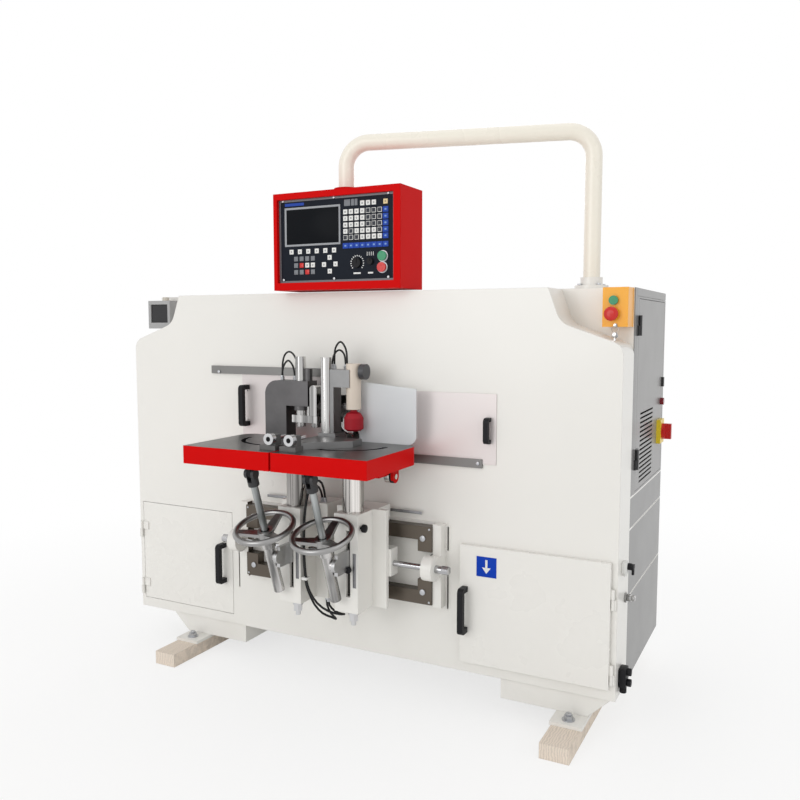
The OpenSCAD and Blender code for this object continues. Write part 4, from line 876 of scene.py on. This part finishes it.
class TENONER_OT_panel_screen(bpy.types.Operator):
    """Screen with its bezel, display windows, panel screws, the dial's scale and the button rings."""
    bl_idname = "tenoner.panel_screen"
    bl_label = "Panel screen"

    def execute(self, context):
        self.screen()
        self.scales()
        bm = bmesh.new()
        for x0, x1 in display_x:
            raised(bm, (x0, display_z[0], x1, display_z[1]), 1.0, -0.5, 0.0006)
        piece(bm, "display_windows", "grey_key", "control_box")
        bm = bmesh.new()
        for z in panel_screw_z:
            for x in panel_screw_x:
                drum(bm, panel_at(x, z, 1.0), to_front, 0.0042, 0.0035, 24, 0.0012)
        piece(bm, "panel_screws", "zinc", "control_box")
        bm = bmesh.new()
        raised(bm, header_box, 0.4, -0.3)
        piece(bm, "header_strip", "blue_key", "control_box")
        bm = bmesh.new()
        for x, z in ring_spots:
            drum(bm, panel_at(x, z, -0.5), to_front, ring_radius, 0.0022, 40, 0.0006)
        piece(bm, "button_rings", "zinc", "control_box")
        return {"FINISHED"}

    def screen(self):
        bm = bmesh.new()
        raised(bm, screen_box, 3.0, -1.0)
        front = min(bm.faces, key=lambda f: f.calc_center_median().y)
        bmesh.ops.inset_region(bm, faces=[front], thickness=bezel_w, use_even_offset=True)
        bmesh.ops.translate(bm, verts=front.verts, vec=(0, bezel_step, 0))
        rim = [e for e in bm.edges if e.calc_length() > 0.05]
        bmesh.ops.bevel(bm, geom=rim, offset=0.0006, affect="EDGES", segments=2, profile=0.5, material=-1)
        finishes["bezel"] = plastic("bezel_plastic", (0.34, 0.35, 0.37), 0.36)
        piece(bm, "screen_bezel", "bezel", "control_box")
        s = Shade("screen_glass")
        tone = s.mixed(s.noise(5.0, 2.0), (0.006, 0.007, 0.009, 1), (0.010, 0.011, 0.013, 1))
        finishes["screen"] = s.surface(tone, s.noise(9.0) * 0.06 + 0.22, edge=0.0, spec=0.03)
        x0, z0, x1, z1 = screen_box
        bm = bmesh.new()
        glass_box = (x0 + glass_inset, z0 + glass_inset, x1 - glass_inset, z1 - glass_inset)
        raised(bm, glass_box, 1.6, 0.2, 0.0003)
        piece(bm, "screen_glass", "screen", "control_box")

    def scales(self):
        bm = bmesh.new()
        for i in range(dial_ticks):
            turn = math.radians(dial_sweep * (2 * i / (dial_ticks - 1) - 1))
            x, z = dial_x + dial_scale_radius * math.sin(turn), dial_z + dial_scale_radius * math.cos(turn)
            made = slab(bm, -dial_tick_half, dial_tick_half)
            bmesh.ops.rotate(bm, verts=made, cent=(0, 0, 0), matrix=Matrix.Rotation(turn, 3, "Y"))
            bmesh.ops.translate(bm, verts=made, vec=panel_at(x, z, 0.3))
        low_z, high_z = switch_mark_z
        for x in switch_mark_x:
            raised(bm, (x - switch_mark_half, low_z, x + switch_mark_half, high_z), 0.4, -0.2)
        for x0, x1 in label_x:
            raised(bm, (x0, label_z[0], x1, label_z[1]), 0.9, -0.2)
        piece(bm, "dial_scale", "print", "control_box")


# Small fittings: places in millimetres as at() takes them, sizes of drums in metres

anchor_x, anchor_y, foot_plate_z = (775.5, -624.5), (-34, 705), 55
way_screw_x, way_screw_z, way_pocket_y, way_face_y = (313, -333), (366, 536), -33, -44.6
way_corner_x, way_corner_z = (335, -355), (336, 566)
rail_screws = ((-500, -8.5, 1029), (30, -8.5, 1029), (-400, -8.0, 777), (30, -8.0, 777), (478, -8.0, 777))
flange_x, flange_y, flange_z, flange_bolt_circle = 758, 200, 1309.5, 41
flange_bolt_angles = (45, 135, 225, 315)
end_wall_x = 900
valve_y, valve_z, valve_half_w, valve_half_h, valve_t = 57, 500, 15, 16, 15
inlet_y, inlet_z = 100, 398
socket_y, socket_z, socket_half_w, socket_half_h, socket_t, socket_pitch = 52, 178, 22, 28, 22, 16
key_x, key_y, key_lock_z = 862, 60, 1190
key_tooth_drops = (54, 48, 42)
plate_box, plate_y = (480, 434, 544, 496), (-17.2, -15.9)
arrow_x, arrow_shaft_half, arrow_shaft_z, arrow_y = 512, 3.5, (462, 487), (-17.5, -17.1)
arrow_head = ((498, 463), (512, 445), (526, 463))
way_scale_x, way_scale_z, way_scale_y = ((183, 293), (-297, -207)), (602, 611), (-11.2, -10)
column_x, column_scale_off, column_scale_z = {"left": -76, "right": 130}, (24, 35), (401, 507)
column_scale_y, column_ticks = (-201.2, -199.9), 25
tick_pitch, tick_w, long_tick_every = 4, 0.5, 5
side_knob, front_knob = (170.5, -182, 583), (144, -199.5, 458)


class TENONER_OT_fasteners(bpy.types.Operator):
    """Anchor bolts, screws on the ways, rail screws and flange bolts."""
    bl_idname = "tenoner.fasteners"
    bl_label = "Fasteners"

    def execute(self, context):
        bm = bmesh.new()
        washer = (0.019, 0.003, 32, 0.0006)
        nut = (0.0138, 0.011, 6, 0.0)
        bolt_end = (0.0085, 0.007, 24, 0.0015)
        for x in anchor_x:
            for y in anchor_y:
                stack(bm, at(x, y, foot_plate_z), to_top, washer, nut, bolt_end)
        piece(bm, "anchor_bolts", "zinc", "base")
        bm = bmesh.new()
        for x in way_screw_x:
            for z in way_screw_z:
                drum(bm, at(x, way_pocket_y, z), to_front, 0.0074, 0.009, 24, 0.0008)
                drum(bm, at(x, way_face_y, z), to_front, 0.0094, 0.004, 24, 0.0010)
        for x in way_corner_x:
            for z in way_corner_z:
                drum(bm, at(x, way_face_y, z), to_front, 0.0034, 0.0025, 24, 0.0006)
        piece(bm, "way_screws", "zinc", "base")
        bm = bmesh.new()
        for spot in rail_screws:
            drum(bm, at(*spot), to_front, 0.0055, 0.003, 24, 0.001)
        for angle in flange_bolt_angles:
            x = flange_x + flange_bolt_circle * math.cos(math.radians(angle))
            y = flange_y + flange_bolt_circle * math.sin(math.radians(angle))
            drum(bm, at(x, y, flange_z), to_top, 0.0062, 0.006, 24, 0.001)
        piece(bm, "rail_screws", "zinc", "base")
        return {"FINISHED"}


class TENONER_OT_air_valve(bpy.types.Operator):
    """Lever valve, air inlet and supply socket on the right end of the casing."""
    bl_idname = "tenoner.air_valve"
    bl_label = "Air valve"

    def execute(self, context):
        bm = bmesh.new()
        slab(bm, at(end_wall_x, valve_y - valve_half_w, valve_z - valve_half_h),
             at(end_wall_x + valve_t, valve_y + valve_half_w, valve_z + valve_half_h), 0.002)
        drum(bm, at(end_wall_x + valve_t / 2, valve_y, valve_z - 26), to_top, 0.006, 0.012, 28, 0.001)
        piece(bm, "valve_body", "white_key", "base")
        bm = bmesh.new()
        face_x = end_wall_x + valve_t
        drum(bm, at(face_x - 0.5, valve_y, valve_z + 3), to_right, 0.010, 0.012, 28, 0.0015)
        slab(bm, at(face_x + 9, valve_y - 13, valve_z - 4),
             at(face_x + 18, valve_y + 13, valve_z + 9), 0.002)
        slab(bm, at(face_x + 10, valve_y + 1, valve_z - 22),
             at(face_x + 17, valve_y + 12, valve_z), 0.002)
        piece(bm, "valve_lever", "black", "base")
        bm = bmesh.new()
        stack(bm, at(end_wall_x, inlet_y, inlet_z), to_right,
              (0.016, 0.006, 6, 0.0), (0.011, 0.014, 28, 0.001), (0.0085, 0.010, 28, 0.001))
        piece(bm, "air_inlet", "chrome", "base")
        bm = bmesh.new()
        face_x = end_wall_x + socket_t
        slab(bm, at(end_wall_x, socket_y - socket_half_w, socket_z - socket_half_h),
             at(face_x, socket_y + socket_half_w, socket_z + socket_half_h), 0.004)
        for z in (socket_z - socket_pitch, socket_z + socket_pitch):
            drum(bm, at(face_x, socket_y, z), to_right, 0.011, 0.012, 28, 0.0015)
        drum(bm, at(end_wall_x + socket_t / 2, socket_y, socket_z - 48), to_top, 0.010, 0.022, 28, 0.002)
        piece(bm, "supply_socket", "black", "base")
        return {"FINISHED"}


class TENONER_OT_key_ring(bpy.types.Operator):
    """Key hanging on its ring under the push-button station."""
    bl_idname = "tenoner.key_ring"
    bl_label = "Key ring"

    def execute(self, context):
        bm = bmesh.new()
        drum(bm, at(key_x, key_y + 6, key_lock_z), to_front, 0.006, 0.006, 28, 0.001)
        hoop(bm, at(key_x, key_y, key_lock_z - 11), (0, 1, 0), 0.0095, 0.0007)
        drum(bm, at(key_x, key_y + 1.2, key_lock_z - 28), to_front, 0.0085, 0.0022, 28, 0.0006)
        slab(bm, at(key_x - 2.8, key_y - 0.8, key_lock_z - 58),
             at(key_x + 2.8, key_y + 1, key_lock_z - 34), 0.0004)
        for drop in key_tooth_drops:
            tooth_z = key_lock_z - drop
            slab(bm, at(key_x + 2.4, key_y - 0.7, tooth_z),
                 at(key_x + 4.4, key_y + 0.9, tooth_z + 3), 0.0003)
        piece(bm, "key_and_ring", "chrome", "base")
        return {"FINISHED"}


class TENONER_OT_door_plate(bpy.types.Operator):
    """Plain blue plate with a white arrow on the right door."""
    bl_idname = "tenoner.door_plate"
    bl_label = "Door plate"

    def execute(self, context):
        bm = bmesh.new()
        x0, z0, x1, z1 = plate_box
        slab(bm, at(x0, plate_y[0], z0), at(x1, plate_y[1], z1), 0.0005)
        finishes["blue_plate"] = plastic("blue_plate", (0.006, 0.050, 0.44), 0.40, spec=0.08)
        piece(bm, "blue_plate", "blue_plate", "right_door")
        bm = bmesh.new()
        slab(bm, at(arrow_x - arrow_shaft_half, arrow_y[0], arrow_shaft_z[0]),
             at(arrow_x + arrow_shaft_half, arrow_y[1], arrow_shaft_z[1]))
        tip = bm.faces.new([bm.verts.new(at(x, arrow_y[0], z)) for x, z in arrow_head])
        grown = bmesh.ops.extrude_face_region(bm, geom=[tip])
        bmesh.ops.translate(bm, verts=[v for v in grown["geom"] if isinstance(v, bmesh.types.BMVert)],
                            vec=(0, (arrow_y[1] - arrow_y[0]) / 1000, 0))
        piece(bm, "plate_arrow", "print", "right_door")
        return {"FINISHED"}


class TENONER_OT_scales(bpy.types.Operator):
    """Steel scales over the ways, column scales and lock knobs on the housings."""
    bl_idname = "tenoner.scales"
    bl_label = "Scales and knobs"

    def execute(self, context):
        bm, ticks = bmesh.new(), bmesh.new()
        front_y, back_y = way_scale_y
        low_z, high_z = way_scale_z
        for x0, x1 in way_scale_x:
            slab(bm, at(x0, front_y, low_z), at(x1, back_y, high_z), 0.0003)
            for i in range(int((x1 - x0) / tick_pitch)):
                tall = 6 if i % long_tick_every == 0 else 3.5
                x = x0 + tick_pitch * (i + 0.5)
                slab(ticks, at(x, front_y - 0.15, high_z - tall),
                     at(x + tick_w, front_y + 0.1, high_z - 0.5))
        piece(bm, "way_scales", "dull_steel", "base")
        piece(ticks, "way_scale_ticks", "mark", "base")
        front_y, back_y = column_scale_y
        low_z, high_z = column_scale_z
        for side, x in column_x.items():
            bm, ticks = bmesh.new(), bmesh.new()
            x0, x1 = (x + off for off in column_scale_off)
            slab(bm, at(x0, front_y, low_z), at(x1, back_y, high_z), 0.0003)
            for i in range(column_ticks):
                wide = 8 if i % long_tick_every == 0 else 5
                z = low_z + tick_pitch * (i + 1)
                slab(ticks, at(x0 + 1, front_y - 0.2, z), at(x0 + 1 + wide, front_y + 0.1, z + tick_w))
            piece(bm, side + "_column_scale", "dull_steel", side + "_saddle")
            piece(ticks, side + "_column_ticks", "mark", side + "_saddle")
        bm = bmesh.new()
        for spot, axis, radius, length in ((side_knob, to_right, 0.0125, 0.012),
                                           (front_knob, to_front, 0.0105, 0.011)):
            foot = at(*spot)
            drum(bm, foot, axis, 0.004, 0.010, 20)
            drum(bm, foot + Vector(axis) * 0.0075, axis, radius, length, 32, 0.002)
        piece(bm, "right_lock_knobs", "black", "right_saddle")
        return {"FINISHED"}


# Stage: lamps have their place in metres, their width and their power in watts

camera_place = (1366.1, -2261.7, 1185.9)
camera_right, camera_up = Vector((0.8906, 0.4547, 0.0)), Vector((-0.0408, 0.0799, 0.996))
camera_lens, camera_sensor = 36.5, 36.0
lamps = (("key", (-1.2, -5.0, 2.2), 3.2, 62), ("fill", (4.2, -1.6, 2.6), 2.6, 12),
         ("top", (0.4, 0.2, 4.6), 3.0, 11), ("rear", (-1.0, 4.5, 3.2), 3.0, 38))
lamp_target = (0.0, 0.0, 0.75)
sky_light = 0.78
floor_half = 14.0
floor_white, floor_white_from, floor_white_to = 0.7, 1.1, 3.0


def aim(made, target):
    made.rotation_euler = (Vector(target) - made.location).to_track_quat("-Z", "Y").to_euler()


class TENONER_OT_stage(bpy.types.Operator):
    """Pale floor, soft studio light and the photograph's camera."""
    bl_idname = "tenoner.stage"
    bl_label = "Stage"

    def execute(self, context):
        scene = context.scene
        scene.view_settings.view_transform = "Standard"
        lens = bpy.data.cameras.new("camera")
        lens.lens = camera_lens
        lens.sensor_width = camera_sensor
        lens.clip_end = 60.0
        camera = bpy.data.objects.new("camera", lens)
        scene.collection.objects.link(camera)
        turned = Matrix((camera_right, camera_up, camera_right.cross(camera_up))).transposed().to_4x4()
        camera.matrix_world = Matrix.Translation(at(*camera_place)) @ turned
        scene.camera = camera
        for name, spot, width, power in lamps:
            self.lamp(scene, name, spot, width, power)
        self.sky(scene)
        self.floor(scene)
        return {"FINISHED"}

    def sky(self, scene):
        world = bpy.data.worlds.new("studio")
        scene.world = world
        world.use_nodes = True
        tree = world.node_tree
        sky = next(n for n in tree.nodes if n.type == "BACKGROUND")
        rays = tree.nodes.new("ShaderNodeLightPath")
        seen = rays.outputs["Is Camera Ray"]
        for ray in ("Is Transmission Ray", "Is Glossy Ray"):
            larger = tree.nodes.new("ShaderNodeMath")
            larger.operation = "MAXIMUM"
            tree.links.new(seen, larger.inputs[0])
            tree.links.new(rays.outputs[ray], larger.inputs[1])
            seen = larger.outputs[0]
        level = tree.nodes.new("ShaderNodeMapRange")
        level.inputs["To Min"].default_value = sky_light
        level.inputs["To Max"].default_value = 1.0
        tree.links.new(seen, level.inputs["Value"])
        sky.inputs["Color"].default_value = (1.0, 1.0, 1.0, 1.0)
        tree.links.new(level.outputs[0], sky.inputs["Strength"])

    def floor(self, scene):
        bm = bmesh.new()
        bmesh.ops.create_grid(bm, x_segments=1, y_segments=1, size=floor_half)
        mesh = bpy.data.meshes.new("floor")
        bm.to_mesh(mesh)
        bm.free()
        floor = bpy.data.objects.new("floor", mesh)
        scene.collection.objects.link(floor)
        s = Shade("floor_paint")
        tone = s.mixed(s.noise(1.5), (0.90, 0.90, 0.89, 1), (0.88, 0.88, 0.87, 1))
        mesh.materials.append(s.surface(tone, 0.7, edge=0.0))
        far = s.node("ShaderNodeMapRange", {"clamp": True, "interpolation_type": "SMOOTHSTEP"},
                     {0: s.off_axis(s.x, 0.0, s.y, 0.0), 1: floor_white_from, 2: floor_white_to,
                      3: floor_white, 4: 1.0})
        white = s.node("ShaderNodeEmission", None, {"Color": (1, 1, 1, 1), "Strength": 1.0})
        seen = s.node("ShaderNodeLightPath", out="Is Camera Ray")
        for ray in ("Is Glossy Ray", "Is Transmission Ray"):
            seen = seen.either(s.node("ShaderNodeLightPath", out=ray))
        paint = Term(s, s.shader.outputs[0])
        both = s.node("ShaderNodeMixShader", None, {0: far * seen, 1: paint, 2: white})
        end = next(n for n in s.tree.nodes if n.type == "OUTPUT_MATERIAL")
        s.tree.links.new(both.socket, end.inputs["Surface"])

    def lamp(self, scene, name, spot, size, power):
        light = bpy.data.lights.new(name, "AREA")
        light.shape = "DISK"
        light.size = size
        light.energy = power
        made = bpy.data.objects.new(name, light)
        scene.collection.objects.link(made)
        made.location = spot
        aim(made, lamp_target)


class TENONER_PT_panel(bpy.types.Panel):
    """Pieces of the machine in the sidebar."""
    bl_idname = "TENONER_PT_panel"
    bl_label = "Tenoning machine"
    bl_space_type = "VIEW_3D"
    bl_region_type = "UI"
    bl_category = "Tenoner"

    def draw(self, context):
        for step in steps:
            self.layout.operator(step.bl_idname)
        for group in (context.scene.tenoner_sizes, context.scene.tenoner_colours):
            for name in group.bl_rna.properties.keys():
                if name not in ("rna_type", "name"):
                    self.layout.prop(group, name)


steps = (TENONER_OT_stage, TENONER_OT_finishes, TENONER_OT_hoses, TENONER_OT_panel_screen,
         TENONER_OT_panel_keys, TENONER_OT_fasteners, TENONER_OT_air_valve, TENONER_OT_key_ring,
         TENONER_OT_door_plate, TENONER_OT_scales)
classes = (TenonerColours, TenonerSizes) + steps + (TENONER_PT_panel,)


def register():
    for made in classes:
        bpy.utils.register_class(made)
    bpy.types.Scene.tenoner_colours = bpy.props.PointerProperty(type=TenonerColours)
    bpy.types.Scene.tenoner_sizes = bpy.props.PointerProperty(type=TenonerSizes)


def unregister():
    del bpy.types.Scene.tenoner_sizes
    del bpy.types.Scene.tenoner_colours
    for made in reversed(classes):
        bpy.utils.unregister_class(made)


def main():
    register()
    for step in steps:
        group, name = step.bl_idname.split(".")
        getattr(getattr(bpy.ops, group), name)()


if __name__ == "__main__":
    main()
